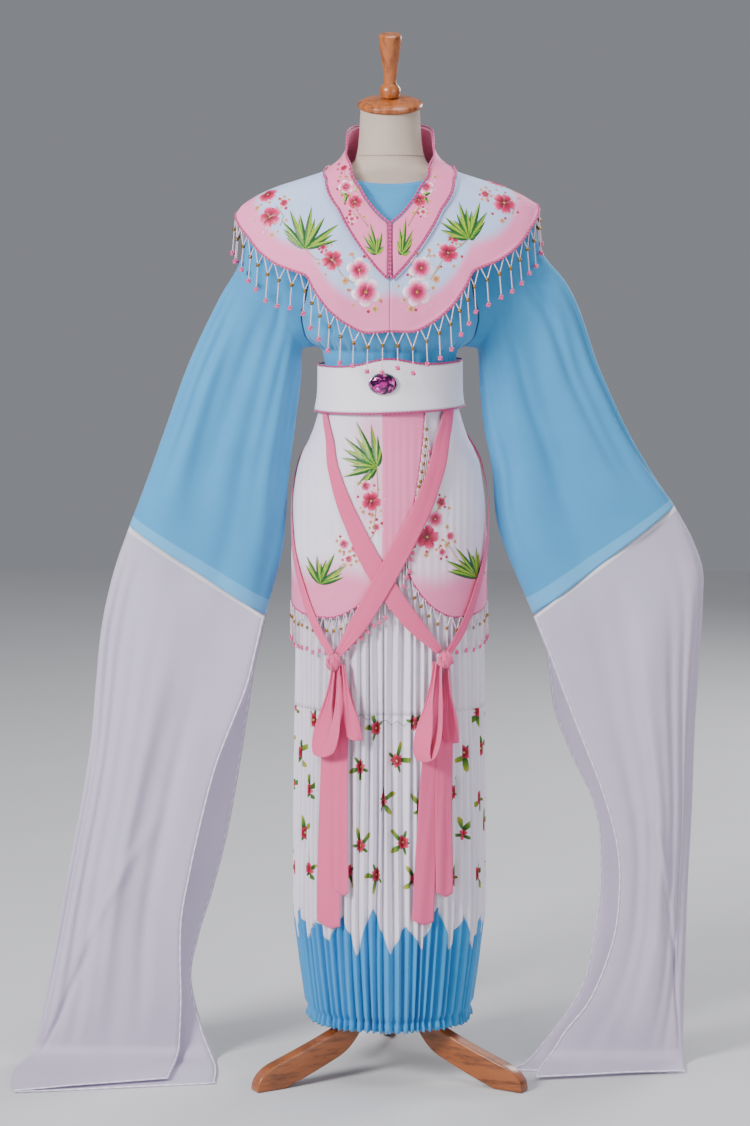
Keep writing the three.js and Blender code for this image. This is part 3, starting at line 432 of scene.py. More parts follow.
class Graph:
    """A material's nodes, with short calls for those used here."""

    def __init__(self, name: str) -> None:
        """Start an empty material of that name.

        Args:
            name: The material's name.
        """
        self.material = bpy.data.materials.new(name)
        self.material.use_nodes = True
        self.tree = self.material.node_tree
        self.tree.nodes.clear()

    def node(self, kind: str, inputs: Optional[dict] = None, **settings: object) -> bpy.types.Node:
        """Add a node.

        Args:
            kind: Its type, after "ShaderNode".
            inputs: A value or another node's socket for each input, by name or number.
            settings: The node's own settings.

        Returns:
            The node.
        """
        made = self.tree.nodes.new("ShaderNode" + kind)
        for key, value in settings.items():
            setattr(made, key, value)
        for key, value in (inputs or {}).items():
            if isinstance(value, Socket):
                self.tree.links.new(value, made.inputs[key])
            else:
                made.inputs[key].default_value = value
        return made

    def sum(self, operation: str, *values: object) -> Socket:
        """A Math node's result."""
        return self.node("Math", dict(enumerate(values)), operation=operation).outputs[0]

    def times(self, a: object, b: object) -> Socket:
        """A product."""
        return self.sum("MULTIPLY", a, b)

    def fit(self, value: object, scale: float, start: float) -> Socket:
        """A value scaled and added to a start."""
        return self.sum("MULTIPLY_ADD", value, scale, start)

    def blend(self, share: object, a: object, b: object) -> Socket:
        """A colour between two."""
        return self.node("Mix", {0: share, 6: a, 7: b}, data_type="RGBA").outputs[2]

    def coordinates(self, kind: str = "UV") -> Socket:
        """The piece's UV map, or its Object coordinates."""
        return self.node("TexCoord").outputs[kind]

    def split(self, vector: object) -> Sequence[Socket]:
        """The numbers of a vector."""
        return self.node("SeparateXYZ", {0: vector}).outputs

    def noise(self, vector: object, scale: float, detail: float = 2.0) -> Socket:
        """A noise texture's value."""
        return self.node("TexNoise", {"Vector": vector, "Scale": scale, "Detail": detail}).outputs[0]

    def stretched(self, vector: object, scale: tuple[float, float, float]) -> Socket:
        """A vector with each axis scaled."""
        return self.node("Mapping", {0: vector, "Scale": scale}).outputs[0]

    def attribute(self, name: str) -> Socket:
        """The value of one of the mesh's attributes."""
        return self.node("Attribute", attribute_name=name).outputs["Fac"]

    def ramp(self, value: object, stops: Sequence[tuple[float, int]]) -> Socket:
        """Turn a value into a colour.

        Args:
            value: The value.
            stops: Places from 0 to 1, each with its colour.

        Returns:
            The colour.
        """
        made = self.node("ValToRGB", {0: value})
        elements = made.color_ramp.elements
        while len(elements) < len(stops):
            elements.new(0.5)
        for element, (place, code) in zip(elements, stops):
            element.position = place
            element.color = linear(code)
        return made.outputs[0]

    def bump(self, height: object, strength: float, distance: float, under: object = None) -> Socket:
        """Turn a height into a normal.

        Args:
            height: The height.
            strength: How much of it counts.
            distance: What a height of 1 stands for, in metres.
            under: Another normal that it lies on.

        Returns:
            The normal.
        """
        inputs = {"Strength": strength, "Distance": distance, "Height": height}
        if under is not None:
            inputs["Normal"] = under
        return self.node("Bump", inputs).outputs[0]

    def shader(self, **inputs: object) -> Socket:
        """A Principled shader, its inputs given by name with _ for each space."""
        return self.node("BsdfPrincipled", {k.replace("_", " "): v for k, v in inputs.items()}).outputs[0]

    def output(self, shader: Socket) -> bpy.types.Material:
        """Join a shader to the output, which finishes the material."""
        self.node("OutputMaterial", {0: shader})
        return self.material


def weave(graph: Graph, pitch: float) -> Socket:
    """The height of a plain weave on the UV map, from 0 to 1, with its threads a pitch apart.

    Args:
        graph: The material.
        pitch: How far apart the threads are, in metres.

    Returns:
        The height.
    """
    places = graph.split(graph.coordinates())
    waves = [graph.sum("SINE", graph.times(places[k], math.tau / pitch)) for k in (0, 1)]
    return graph.sum("ADD", graph.times(graph.times(*waves), 0.5), 0.5)


@dataclass(frozen=True)
class ClothFinish:
    """A woven cloth: its colours, its weave and how it takes light."""

    name: str
    slot: str
    colour: int
    shade: int
    roughness: float = 0.8
    sheen: float = 0.25
    pitch: float = 0.0011
    relief: float = 0.12
    crinkle: float = 0.25
    crinkle_size: float = 0.02
    through: float = 0.0
    opacity: float = 1.0
    drape: float = 0.0

    def colours(self, graph: Graph) -> Socket:
        """The cloth's colour, a little uneven in its dye."""
        tone = graph.noise(graph.coordinates(), 9.0, 3.0)
        return graph.blend(tone, linear(self.colour), linear(self.shade))

    def build(self) -> bpy.types.Material:
        """Make the material: weave and crinkles over long soft folds, and light let through if it is thin.

        Returns:
            The material.
        """
        graph = Graph(self.name)
        colour = self.colours(graph)
        fine = graph.noise(graph.coordinates(), 1 / self.crinkle_size, 3.0)
        threads = graph.times(weave(graph, self.pitch), self.relief)
        height = graph.sum("MULTIPLY_ADD", fine, self.crinkle, threads)
        soft = None
        if self.drape:
            folds = graph.noise(graph.stretched(graph.coordinates(), (8.0, 1.3, 1.0)), 1.0, 1.5)
            soft = graph.bump(folds, 1.0, self.drape)
        rough = graph.fit(fine, 0.12, self.roughness - 0.06)
        shader = graph.shader(
            Base_Color=colour, Roughness=rough, Sheen_Weight=self.sheen, Sheen_Roughness=0.5,
            Specular_IOR_Level=0.3, Alpha=self.opacity, Normal=graph.bump(height, 0.6, 0.0012, soft),
        )
        if self.through:
            behind = graph.node("BsdfTranslucent", {"Color": colour}).outputs[0]
            shader = graph.node("MixShader", {0: self.through, 1: shader, 2: behind}).outputs[0]
        return graph.output(shader)


@dataclass(frozen=True)
class SeamedFinish(ClothFinish):
    """A cloth with a paler band where a seam doubles it, by the mesh's attribute "band"."""

    band: int = 0xFFFFFF

    def colours(self, graph: Graph) -> Socket:
        """The cloth's colour, paler along the seam."""
        seam = graph.node("MapRange", {0: graph.attribute("band"), 1: 0.42, 2: 0.5}).outputs[0]
        return graph.blend(seam, ClothFinish.colours(self, graph), linear(self.band))


@dataclass(frozen=True)
class ShadedFinish(ClothFinish):
    """A cloth dyed in two colours that run into each other, by the mesh's attribute "dye"."""

    border: int = 0xFF9FC0
    border_shade: int = 0xF488AE

    def colours(self, graph: Graph) -> Socket:
        """The centre's colour, running into the border's.

        Args:
            graph: The material.

        Returns:
            The colour.
        """
        tone = graph.noise(graph.coordinates(), 14.0, 3.0)
        centre = graph.blend(tone, linear(self.colour), linear(self.shade))
        edge = graph.blend(tone, linear(self.border), linear(self.border_shade))
        return graph.blend(graph.attribute("dye"), centre, edge)


@dataclass(frozen=True)
class SprigFinish(ClothFinish):
    """A pleated cloth printed with small sprigs, laid out on the cloth before it was pleated."""

    across: float = 0.124
    apart: float = 0.067
    lowest_row: float = 4.9
    flower: float = 0.0138
    leaf: float = 0.035
    squeeze: float = 0.8
    stray: float = 0.36
    petals: tuple = ((0.0, 0xF6D27A), (0.2, 0x7A0A24), (0.6, 0xC21F44), (1.0, 0xEB6D90))
    greens: tuple = ((0.3, 0x1E5318), (0.6, 0x5F8A1E), (1.0, 0xC0B63A))

    def spots(self, graph: Graph) -> tuple[Socket, Socket, Socket]:
        """Find where each point of the cloth lies in its cell of the print.

        Args:
            graph: The material.

        Returns:
            Its distance from the sprig's middle, its turn round it, and the number of its row.
        """
        places = graph.split(graph.coordinates())
        row = graph.sum("DIVIDE", places[1], self.apart)
        row_number = graph.sum("FLOOR", row)
        shift = graph.times(graph.sum("PINGPONG", row_number, 1.0), 0.5)
        column = graph.sum("ADD", graph.sum("DIVIDE", places[0], self.across), shift)
        column_number = graph.sum("FLOOR", column)
        cell = graph.node("CombineXYZ", {0: column_number, 1: row_number}).outputs[0]
        chance = graph.node("TexWhiteNoise", {"Vector": cell}).outputs["Color"]
        stray = graph.node("SeparateColor", {0: chance}).outputs
        sizes = (self.across * self.squeeze, self.apart)
        off = []
        for k, (number, whole) in enumerate(((column, column_number), (row, row_number))):
            centred = graph.sum("SUBTRACT", graph.sum("SUBTRACT", number, whole), 0.5)
            moved = graph.sum("MULTIPLY_ADD", stray[k], self.stray, centred)
            off.append(graph.times(graph.sum("SUBTRACT", moved, self.stray / 2), sizes[k]))
        radius = graph.sum("SQRT", graph.sum("ADD", *[graph.times(p, p) for p in off]))
        turn = graph.sum("MULTIPLY_ADD", stray[2], math.tau, graph.sum("ARCTAN2", off[1], off[0]))
        return radius, turn, row_number

    def colours(self, graph: Graph) -> Socket:
        """Print a flower and its leaves on the ground colour, in each cell of the upper rows.

        Args:
            graph: The material.

        Returns:
            The colour.
        """
        ground = ClothFinish.colours(self, graph)
        radius, turn, row_number = self.spots(graph)
        lobes = graph.sum("COSINE", graph.times(turn, 5.0))
        in_flower = graph.sum("LESS_THAN", radius, graph.fit(lobes, 0.16 * self.flower, 0.8 * self.flower))
        fan = graph.sum("ABSOLUTE", graph.sum("SINE", graph.times(turn, 2.5)))
        longer = graph.fit(graph.sum("COSINE", turn), 0.3 * self.leaf, 0.72 * self.leaf)
        in_leaf = graph.sum("LESS_THAN", radius, graph.times(graph.sum("POWER", fan, 3.0), longer))
        printed = graph.sum("GREATER_THAN", row_number, self.lowest_row)
        petal = graph.ramp(graph.sum("DIVIDE", radius, self.flower), self.petals)
        green = graph.ramp(graph.sum("DIVIDE", radius, self.leaf), self.greens)
        with_leaf = graph.blend(graph.times(in_leaf, printed), ground, green)
        return graph.blend(graph.times(in_flower, printed), with_leaf, petal)


@dataclass(frozen=True)
class ThreadFinish:
    """Silk thread laid side by side: a ramp of colours along the mesh's attribute "tone"."""

    name: str
    slot: str
    stops: tuple[tuple[float, int], ...]
    roughness: float = 0.38

    def build(self) -> bpy.types.Material:
        """Make the material.

        Returns:
            The material.
        """
        graph = Graph(self.name)
        fine = graph.noise(graph.coordinates("Object"), 420.0, 2.0)
        tone = graph.sum("ADD", graph.attribute("tone"), graph.fit(fine, 0.3, -0.15))
        return graph.output(graph.shader(
            Base_Color=graph.ramp(tone, self.stops), Roughness=graph.fit(fine, 0.25, self.roughness - 0.1),
            Sheen_Weight=0.1, Normal=graph.bump(fine, 0.5, 0.0006),
        ))


@dataclass(frozen=True)
class CordFinish:
    """A twisted satin cord, with its twist along the UV map and painted shade in the grooves between its
    strands.
    """

    name: str
    slot: str
    colour: int
    shade: int
    roughness: float = 0.45
    twist: float = 900.0

    def build(self) -> bpy.types.Material:
        """Make the material.

        Returns:
            The material.
        """
        graph = Graph(self.name)
        places = graph.split(graph.coordinates())
        slant = graph.sum("MULTIPLY_ADD", places[1], self.twist, graph.times(places[0], math.tau))
        # strand is 1 on a strand's ridge, in the cord's own colour, and 0 in the groove, where the darker
        # shade colour is painted shade.
        strand = graph.fit(graph.sum("SINE", slant), 0.5, 0.5)
        return graph.output(graph.shader(
            Base_Color=graph.blend(strand, linear(self.shade), linear(self.colour)),
            Roughness=graph.fit(strand, -0.1, self.roughness + 0.05), Sheen_Weight=0.3,
            Normal=graph.bump(strand, 0.7, 0.0006),
        ))


@dataclass(frozen=True)
class WoodFinish:
    """Varnished turned or sawn wood, with its grain along one axis."""

    name: str
    slot: str
    colour: int
    dark: int
    grain: tuple[float, float, float] = (60.0, 60.0, 6.0)

    def build(self) -> bpy.types.Material:
        """Make the material.

        Returns:
            The material.
        """
        graph = Graph(self.name)
        drawn_out = graph.stretched(graph.coordinates("Object"), self.grain)
        lines = graph.noise(drawn_out, 1.6, 6.0)
        pores = graph.noise(drawn_out, 9.0, 2.0)
        share = graph.sum("MULTIPLY_ADD", pores, 0.35, graph.times(lines, 0.8))
        return graph.output(graph.shader(
            Base_Color=graph.ramp(share, [(0.35, self.dark), (0.62, self.colour), (0.9, self.colour)]),
            Roughness=graph.fit(pores, 0.2, 0.26), Coat_Weight=0.35, Coat_Roughness=0.18,
            Normal=graph.bump(pores, 0.15, 0.0006),
        ))


@dataclass(frozen=True)
class BeadFinish:
    """A glass, pearl or metal bead."""

    name: str
    slot: str
    colour: int
    shade: int
    metallic: float = 0.0
    roughness: float = 0.18

    def build(self) -> bpy.types.Material:
        """Make the material.

        Returns:
            The material.
        """
        graph = Graph(self.name)
        tone = graph.noise(graph.coordinates("Object"), 260.0, 1.0)
        return graph.output(graph.shader(
            Base_Color=graph.blend(tone, linear(self.colour), linear(self.shade)),
            Roughness=graph.fit(tone, 0.12, self.roughness), Metallic=self.metallic, Coat_Weight=0.6,
            Coat_Roughness=0.1,
        ))


@dataclass(frozen=True)
class GemFinish:
    """A foiled cut stone whose facets have painted reflections, by the attribute "tone", from painted shade
    to a painted highlight.
    """

    name: str
    slot: str
    # The stone's own purple and pink in the middle; the near-black and pale pink-white ends are painted shade
    # and painted highlights on the facets.
    stops: tuple = ((0.0, 0x120016), (0.42, 0x3E0440), (0.68, 0x84106C), (0.88, 0xE848B4), (1.0, 0xFFC8EE))

    def build(self) -> bpy.types.Material:
        """Make the material.

        Returns:
            The material.
        """
        graph = Graph(self.name)
        veil = graph.noise(graph.coordinates("Object"), 160.0, 2.0)
        tone = graph.sum("MULTIPLY_ADD", veil, 0.3, graph.sum("SUBTRACT", graph.attribute("tone"), 0.15))
        return graph.output(graph.shader(
            Base_Color=graph.ramp(tone, self.stops), Roughness=graph.fit(veil, 0.05, 0.05), Metallic=0.1,
            Coat_Weight=0.5, Coat_Roughness=0.03,
        ))


BLUE_CHIFFON = SeamedFinish(
    "blue_chiffon", "sky_blue_chiffon", 0x4DA9E0, 0x3D97D0, roughness=0.85, sheen=0.25, through=0.12,
    drape=0.02,
    band=0x68B8EA,
)
WHITE_CHIFFON = SeamedFinish(
    "white_chiffon", "white_chiffon", 0xE8DFF0, 0xDAD0E6, roughness=0.8, sheen=0.2, through=0.26,
    opacity=0.86,
    drape=0.024, band=0xFBF8FD,
)
PLEATED_WHITE = ClothFinish(
    "pleated_white", "white_chiffon", 0xF6F0FA, 0xE9E1F1, roughness=0.75, sheen=0.2, through=0.08
)
PRINTED_WHITE = SprigFinish(
    "printed_white", "white_chiffon", 0xF6F0FA, 0xE9E1F1, roughness=0.75, sheen=0.2, through=0.08
)
PLEATED_BLUE = ClothFinish(
    "pleated_blue", "sky_blue_chiffon", 0x43A2DE, 0x328ECE, roughness=0.78, sheen=0.25, through=0.08
)
WHITE_SATIN = ClothFinish(
    "white_satin", "white_satin", 0xFBF6FD, 0xF2EAF7, roughness=0.48, sheen=0.15, crinkle=0.08
)
CAPE_SATIN = ShadedFinish(
    "cape_satin", "pale_pink_satin", 0xBFD3F6, 0xACC4F0, roughness=0.6, sheen=0.25, crinkle=0.3, drape=0.012,
    border=0xFA8FBE, border_shade=0xF47CAF,
)
PANEL_SATIN = ShadedFinish(
    "panel_satin", "pale_pink_satin", 0xF4ECFA, 0xE8DDF3, roughness=0.62, sheen=0.25, drape=0.012,
    border=0xF78AB6, border_shade=0xF078A9,
)
PINK_SATIN = ClothFinish(
    "pink_satin", "pale_pink_satin", 0xF887B8, 0xF174A8, roughness=0.5, sheen=0.25, crinkle=0.2
)
RIBBON = ClothFinish(
    "ribbon", "pink_ribbon", 0xF56D9D, 0xEC598C, roughness=0.8, sheen=0.3, through=0.1, crinkle=0.3,
    crinkle_size=0.012, drape=0.012,
)
LINEN = ClothFinish(
    "linen", "form_linen", 0xD8C3B4, 0xC3AE9F, roughness=0.92, sheen=0.2, pitch=0.0016, relief=0.6,
    crinkle=0.1
)
# For each cord, the first colour is its own and the second is the painted shade in the grooves of its twist.
LINEN_SEAM = CordFinish("linen_seam", "form_linen", 0xBFA897, 0x93806F, roughness=0.9)
BLUE_HEM = CordFinish("blue_hem", "sky_blue_chiffon", 0x4AA3DA, 0x3A8CC4, roughness=0.75)
ROSE_CORD = CordFinish("rose_cord", "rose_piping", 0xD43F85, 0x9A1F60)
HEM_ROLL = CordFinish("hem_roll", "white_chiffon", 0xF7F1FB, 0xDDD2EA, roughness=0.8, twist=300.0)
TACK_THREAD = CordFinish("tack_thread", "white_chiffon", 0x5D5468, 0x3F374C, roughness=0.7, twist=2400.0)
STAND_WOOD = WoodFinish("stand_wood", "stand_wood", 0xB0622C, 0x642C0E)
LEG_WOOD = WoodFinish("leg_wood", "stand_wood", 0x9A5527, 0x54290D, grain=(9.0, 9.0, 60.0))
GOLD_BEAD = BeadFinish("gold_bead", "bead_fringe", 0xB98526, 0x7A5214, metallic=0.9, roughness=0.22)
PINK_BEAD = BeadFinish("pink_bead", "bead_fringe", 0xF26FA0, 0xD84C80)
WHITE_BEAD = BeadFinish("white_bead", "bead_fringe", 0xFBE9F0, 0xD9B4C6)
SILVER = BeadFinish("silver", "silver_setting", 0xD8D8DE, 0xA9A9B4, metallic=1.0, roughness=0.16)
GEM = GemFinish("gem", "purple_stone")
PETAL = ThreadFinish(
    "petal_thread", "pale_pink_satin",
    ((0.0, 0xE8B050), (0.13, 0x64052A), (0.5, 0xB00E42), (0.76, 0xDA2F6C), (0.92, 0xF07DA8), (1.0, 0xFCE0EB)),
)
PALE_PETAL = ThreadFinish(
    "pale_petal_thread", "pale_pink_satin",
    ((0.0, 0xE0A848), (0.13, 0x7E0936), (0.4, 0xC92463), (0.6, 0xEE77A8), (0.82, 0xFBD5E5), (1.0, 0xFFFFFF)),
)
LEAF = ThreadFinish(
    "leaf_thread", "pale_pink_satin",
    ((0.0, 0x0C380C), (0.36, 0x185C12), (0.5, 0x3A8A1A), (0.6, 0xA8B824), (1.0, 0x5E8A16)),
)
# Gold thread, darker and paler for the painted shade and painted light round each stem.
STEM = ThreadFinish("stem_thread", "pale_pink_satin", ((0.0, 0x8F6E33), (1.0, 0xD8B86A)))
BUD = ThreadFinish("bud_thread", "pale_pink_satin", ((0.0, 0x9C6A34), (0.5, 0xD08A62), (1.0, 0xF2CFA6)))


class Wardrobe:
    """The materials made so far, one for each finish."""

    made: dict[str, bpy.types.Material] = {}

    @classmethod
    def get(cls, finish: object) -> bpy.types.Material:
        """A finish's material, made once.

        Args:
            finish: The finish.

        Returns:
            The material.
        """
        if finish.name not in cls.made:
            cls.made[finish.name] = finish.build()
        return cls.made[finish.name]


# Meshes


def only(obj: bpy.types.Object) -> None:
    """Select one object and make it active.

    Args:
        obj: The object.
    """
    bpy.ops.object.select_all(action="DESELECT")
    obj.select_set(True)
    bpy.context.view_layer.objects.active = obj


def modify(obj: bpy.types.Object, kind: str, **settings: object) -> None:
    """Add a modifier and apply it.

    Args:
        obj: The object.
        kind: The modifier's type.
        settings: The modifier's own settings.
    """
    only(obj)
    modifier = obj.modifiers.new(kind.title(), kind)
    for key, value in settings.items():
        setattr(modifier, key, value)
    bpy.ops.object.modifier_apply(modifier=modifier.name)


def mesh_object(
    name: str, points: Array, faces: Sequence[Sequence[int]], finishes: Sequence[object]
) -> bpy.types.Object:
    """A mesh object at the origin.

    Args:
        name: The piece's name.
        points: Points of the frame, in metres.
        faces: Each face's points.
        finishes: The finishes of its material slots.

    Returns:
        The object.
    """
    mesh = bpy.data.meshes.new(name)
    mesh.from_pydata(np.asarray(points, float).tolist(), [], [list(map(int, f)) for f in faces])
    mesh.update()
    obj = bpy.data.objects.new(name, mesh)
    bpy.context.scene.collection.objects.link(obj)
    for finish in finishes:
        mesh.materials.append(Wardrobe.get(finish))
    return obj


def corners(rows: int, columns: int, closed: bool) -> tuple[Array, Array]:
    """The row and the column of each corner of a grid's faces, one past the last where it is closed.

    Args:
        rows: How many rows the grid has.
        columns: How many columns it has.
        closed: Whether the last column joins the first.

    Returns:
        The rows and the columns, four for each face.
    """
    r, c = np.meshgrid(np.arange(rows - 1), np.arange(columns if closed else columns - 1), indexing="ij")
    rows_of, columns_of = np.stack([r, r + 1, r + 1, r], -1), np.stack([c, c, c + 1, c + 1], -1)
    return rows_of.reshape(-1, 4), columns_of.reshape(-1, 4)


def read_points(obj: bpy.types.Object) -> Array:
    """The points of an object's mesh."""
    return np.array([v.co[:] for v in obj.data.vertices])


def write_points(obj: bpy.types.Object, points: Array) -> None:
    """Move the points of an object's mesh."""
    obj.data.vertices.foreach_set("co", points.astype(np.float32).ravel())


def write_places(obj: bpy.types.Object, places: Array) -> None:
    """Give an object the UV map of its flat cloth, with a place for each face's corner."""
    obj.data.uv_layers.new(name="cut").data.foreach_set("uv", places.astype(np.float32).ravel())


def write_values(obj: bpy.types.Object, name: str, values: Array, domain: str = "POINT") -> None:
    """Give an object an attribute with a value for each point or face."""
    layer = obj.data.attributes.new(name, "FLOAT", domain)
    layer.data.foreach_set("value", values.astype(np.float32).ravel())


@dataclass
class Piece:
    """A finished piece: its object, and the tree of its outer face for laying things on."""

    obj: bpy.types.Object
    tree: Optional[BVHTree] = None
    grid: Optional[Array] = None


def settle(obj: bpy.types.Object, nodes: Sequence[str] = ()) -> bpy.types.Object:
    """Let a piece ride on the stand's body, and hide the nodes that it stands for.

    Args:
        obj: The object.
        nodes: The nodes that it stands for.

    Returns:
        The object.
    """
    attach(obj, BODY_NAME)
    if nodes:
        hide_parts(*nodes)
    LOG.info("%s: %d points", obj.name, len(obj.data.vertices))
    return obj


def cloth(
    name: str,
    grid: Array,
    finish: object,
    nodes: Sequence[str],
    rests_on: Sequence[str],
    hub: Callable[[Array], Array] = axis_hub,
    closed: bool = False,
    wall: float = 0.8,
    uv: Optional[Array] = None,
    attributes: Optional[dict[str, Array]] = None,
) -> Piece:
    """Make a sheet of cloth from the grid of its outer face.

    Args:
        name: The piece's name.
        grid: Points in millimetres about the stand's axis, in rows.
        finish: Its finish.
        nodes: The nodes that it stands for.
        rests_on: What it lies on or hangs from; not used.
        hub: Gives the points that its outer face looks away from.
        closed: Whether the last column joins the first.
        wall: The cloth's thickness in millimetres.
        uv: Places on the flat cloth in metres, or None for the grid's own lengths.
        attributes: Values for each point, by name.

    Returns:
        The piece.
    """
    rows, columns = grid.shape[:2]
    widths = [along(row, closed) for row in grid]
    lengths = np.stack([along(column) for column in np.swapaxes(grid, 0, 1)])
    if uv is None:
        across, down = np.mean(widths, axis=0), np.mean(lengths, axis=0)
        uv = np.stack(np.meshgrid(across, down), -1) * MM
    normal = outward(grid, hub(grid), closed)
    r, c = corners(rows, columns, closed)
    faces = r * columns + c % columns
    corner = grid.reshape(-1, 3)[faces[:, :3]]
    turned = np.cross(corner[:, 1] - corner[:, 0], corner[:, 2] - corner[:, 0])
    if (turned * normal.reshape(-1, 3)[faces[:, 0]]).sum() < 0:
        faces, r, c = faces[:, ::-1], r[:, ::-1], c[:, ::-1]
    points = to_frame(grid).reshape(-1, 3)
    obj = mesh_object(name, points, faces, [finish])
    write_places(obj, uv[r, c])
    for key, values in (attributes or {}).items():
        write_values(obj, key, np.broadcast_to(values, (rows, columns)))
    tree = BVHTree.FromPolygons([Vector(p) for p in points], faces.tolist())
    modify(obj, "SOLIDIFY", thickness=wall * MM, offset=-1.0, use_quality_normals=True)
    obj.data.shade_smooth()
    settle(obj, nodes)
    triangle = grid.reshape(-1, 3)[faces]
    halves = (triangle[:, [0, 1, 2]], triangle[:, [0, 2, 3]])
    crossed = [np.cross(h[:, 1] - h[:, 0], h[:, 2] - h[:, 0]) for h in halves]
    area = sum(np.linalg.norm(vectors, axis=1).sum() / 2 for vectors in crossed)
    return Piece(obj, tree, grid)


def tube(
    name: str,
    path: Array,
    radius: float,
    finish: object,
    nodes: Sequence[str] = (),
    sides: int = 8,
    closed: bool = False,
) -> bpy.types.Object:
    """A round cord along a line of points.

    Args:
        name: The piece's name.
        path: Points in millimetres about the stand's axis.
        radius: In millimetres.
        finish: Its finish.
        nodes: The nodes that it stands for.
        sides: How many sides it has.
        closed: Whether its end joins its start.

    Returns:
        The object.
    """
    if closed:
        tangent = unit(np.roll(path, -1, axis=0) - np.roll(path, 1, axis=0))
    else:
        tangent = unit(np.gradient(path, axis=0))
    reference = np.array([0.31, 0.17, 0.93])
    rings = []
    for point, ahead in zip(path, tangent):
        across = unit(np.cross(ahead, reference))
        reference = np.cross(across, ahead)
        a = np.arange(sides) * math.tau / sides
        rings.append(point + radius * (np.outer(np.cos(a), across) + np.outer(np.sin(a), reference)))
    count = len(path)
    r, c = (k[:, [0, 3, 2, 1]] for k in corners(count + closed, sides, True))
    faces = (r % count * sides + c % sides).tolist()
    places = np.stack([c / sides, along(path, closed)[r] * MM], -1).reshape(-1, 2)
    if not closed:
        faces.append(list(range(sides))[::-1])
        faces.append([(count - 1) * sides + k for k in range(sides)])
        places = np.concatenate([places, np.zeros((2 * sides, 2))])
    obj = mesh_object(name, to_frame(np.concatenate(rings)), faces, [finish])
    write_places(obj, places)
    obj.data.shade_smooth()
    return settle(obj, nodes)


def primitive(kind: str, **settings: object) -> bpy.types.Object:
    """Add one of Blender's mesh primitives, and return it.

    Args:
        kind: Which one.
        settings: The settings that it takes.

    Returns:
        The object.
    """
    bpy.ops.object.select_all(action="DESELECT")
    getattr(bpy.ops.mesh, f"primitive_{kind}_add")(**settings)
    return bpy.context.active_object


def in_edit(obj: bpy.types.Object) -> None:
    """Open an object for editing, with all of its faces selected.

    Args:
        obj: The object.
    """
    only(obj)
    bpy.ops.object.mode_set(mode="EDIT")
    bpy.ops.mesh.select_mode(type="FACE")
    bpy.ops.mesh.select_all(action="SELECT")


def next_ring(rise: float, share: float, z: float = 0.0) -> None:
    """Extrude the selected face upwards, and widen it by a share about the axis at a height."""
    bpy.ops.mesh.extrude_region_move(TRANSFORM_OT_translate={"value": (0, 0, rise)})
    bpy.ops.transform.resize(value=(share, share, 1), center_override=(0, 0, z))


def out_of_edit() -> None:
    """Turn all faces outwards and leave edit mode."""
    bpy.ops.mesh.select_all(action="SELECT")
    bpy.ops.mesh.normals_make_consistent(inside=False)
    bpy.ops.object.mode_set(mode="OBJECT")


def turned_part(profile: Sequence[tuple[float, float]], sides: int) -> bpy.types.Object:
    """A turned part, extruded ring by ring from a disc at its foot.

    Args:
        profile: Radius and height of each ring in millimetres, from the foot up.
        sides: How many sides it has.

    Returns:
        The object, in metres.
    """
    radius, z = profile[0]
    foot = (0, 0, z * MM)
    obj = primitive("circle", vertices=sides, radius=radius * MM, fill_type="NGON", location=foot)
    bpy.ops.object.transform_apply(location=True, rotation=True, scale=True)
    in_edit(obj)
    for next_radius, next_z in profile[1:]:
        next_ring((next_z - z) * MM, next_radius / radius, next_z * MM)
        radius, z = next_radius, next_z
    out_of_edit()
    return obj


def smooth_by_angle(obj: bpy.types.Object, degrees: float) -> None:
    """Shade smooth, but for edges sharper than an angle."""
    only(obj)
    bpy.ops.object.shade_smooth_by_angle(angle=math.radians(degrees))


def finished(
    obj: bpy.types.Object, name: str, finish: object, place: Matrix, degrees: float, nodes: Sequence[str]
) -> None:
    """Name a modelled part, move it to its place, shade it and settle it.

    Args:
        obj: The part.
        name: Its name.
        finish: Its finish.
        place: Where it goes.
        degrees: The angle above which its edges stay sharp.
        nodes: The nodes that it stands for.
    """
    obj.name = obj.data.name = name
    obj.data.transform(place)
    obj.data.materials.append(Wardrobe.get(finish))
    smooth_by_angle(obj, degrees)
    settle(obj, nodes)


@dataclass
class Model:
    """A small shape that is modelled once and copied: its points in millimetres, faces, slots and tones."""

    points: Array
    faces: list[list[int]]
    slots: list[int]
    tones: Array

    @classmethod
    def of(
        cls, obj: bpy.types.Object, slot: int = 0, tone: Optional[Callable[[Array], Array]] = None
    ) -> "Model":
        """Take a shape from an object made at its size in millimetres, and remove the object.

        Args:
            obj: The object.
            slot: The material slot of its faces.
            tone: Gives each point's tone from its place.

        Returns:
            The model.
        """
        points = read_points(obj)
        faces = [list(p.vertices) for p in obj.data.polygons]
        bpy.data.objects.remove(obj, do_unlink=True)
        tones = tone(points) if tone else np.zeros(len(points))
        return cls(points, faces, [slot] * len(faces), tones)

    def placed(self, matrix: Array, move: Array) -> "Model":
        """A copy, turned and scaled by a matrix and moved."""
        return Model(self.points @ matrix.T + move, self.faces, self.slots, self.tones)


def gathered(models: Sequence[Model]) -> Model:
    """Several models as one.

    Args:
        models: The models.

    Returns:
        The model of all of them.
    """
    start, faces = 0, []
    for model in models:
        faces += [[start + k for k in face] for face in model.faces]
        start += len(model.points)
    slots = [slot for model in models for slot in model.slots]
    points = np.concatenate([model.points for model in models])
    return Model(points, faces, slots, np.concatenate([model.tones for model in models]))


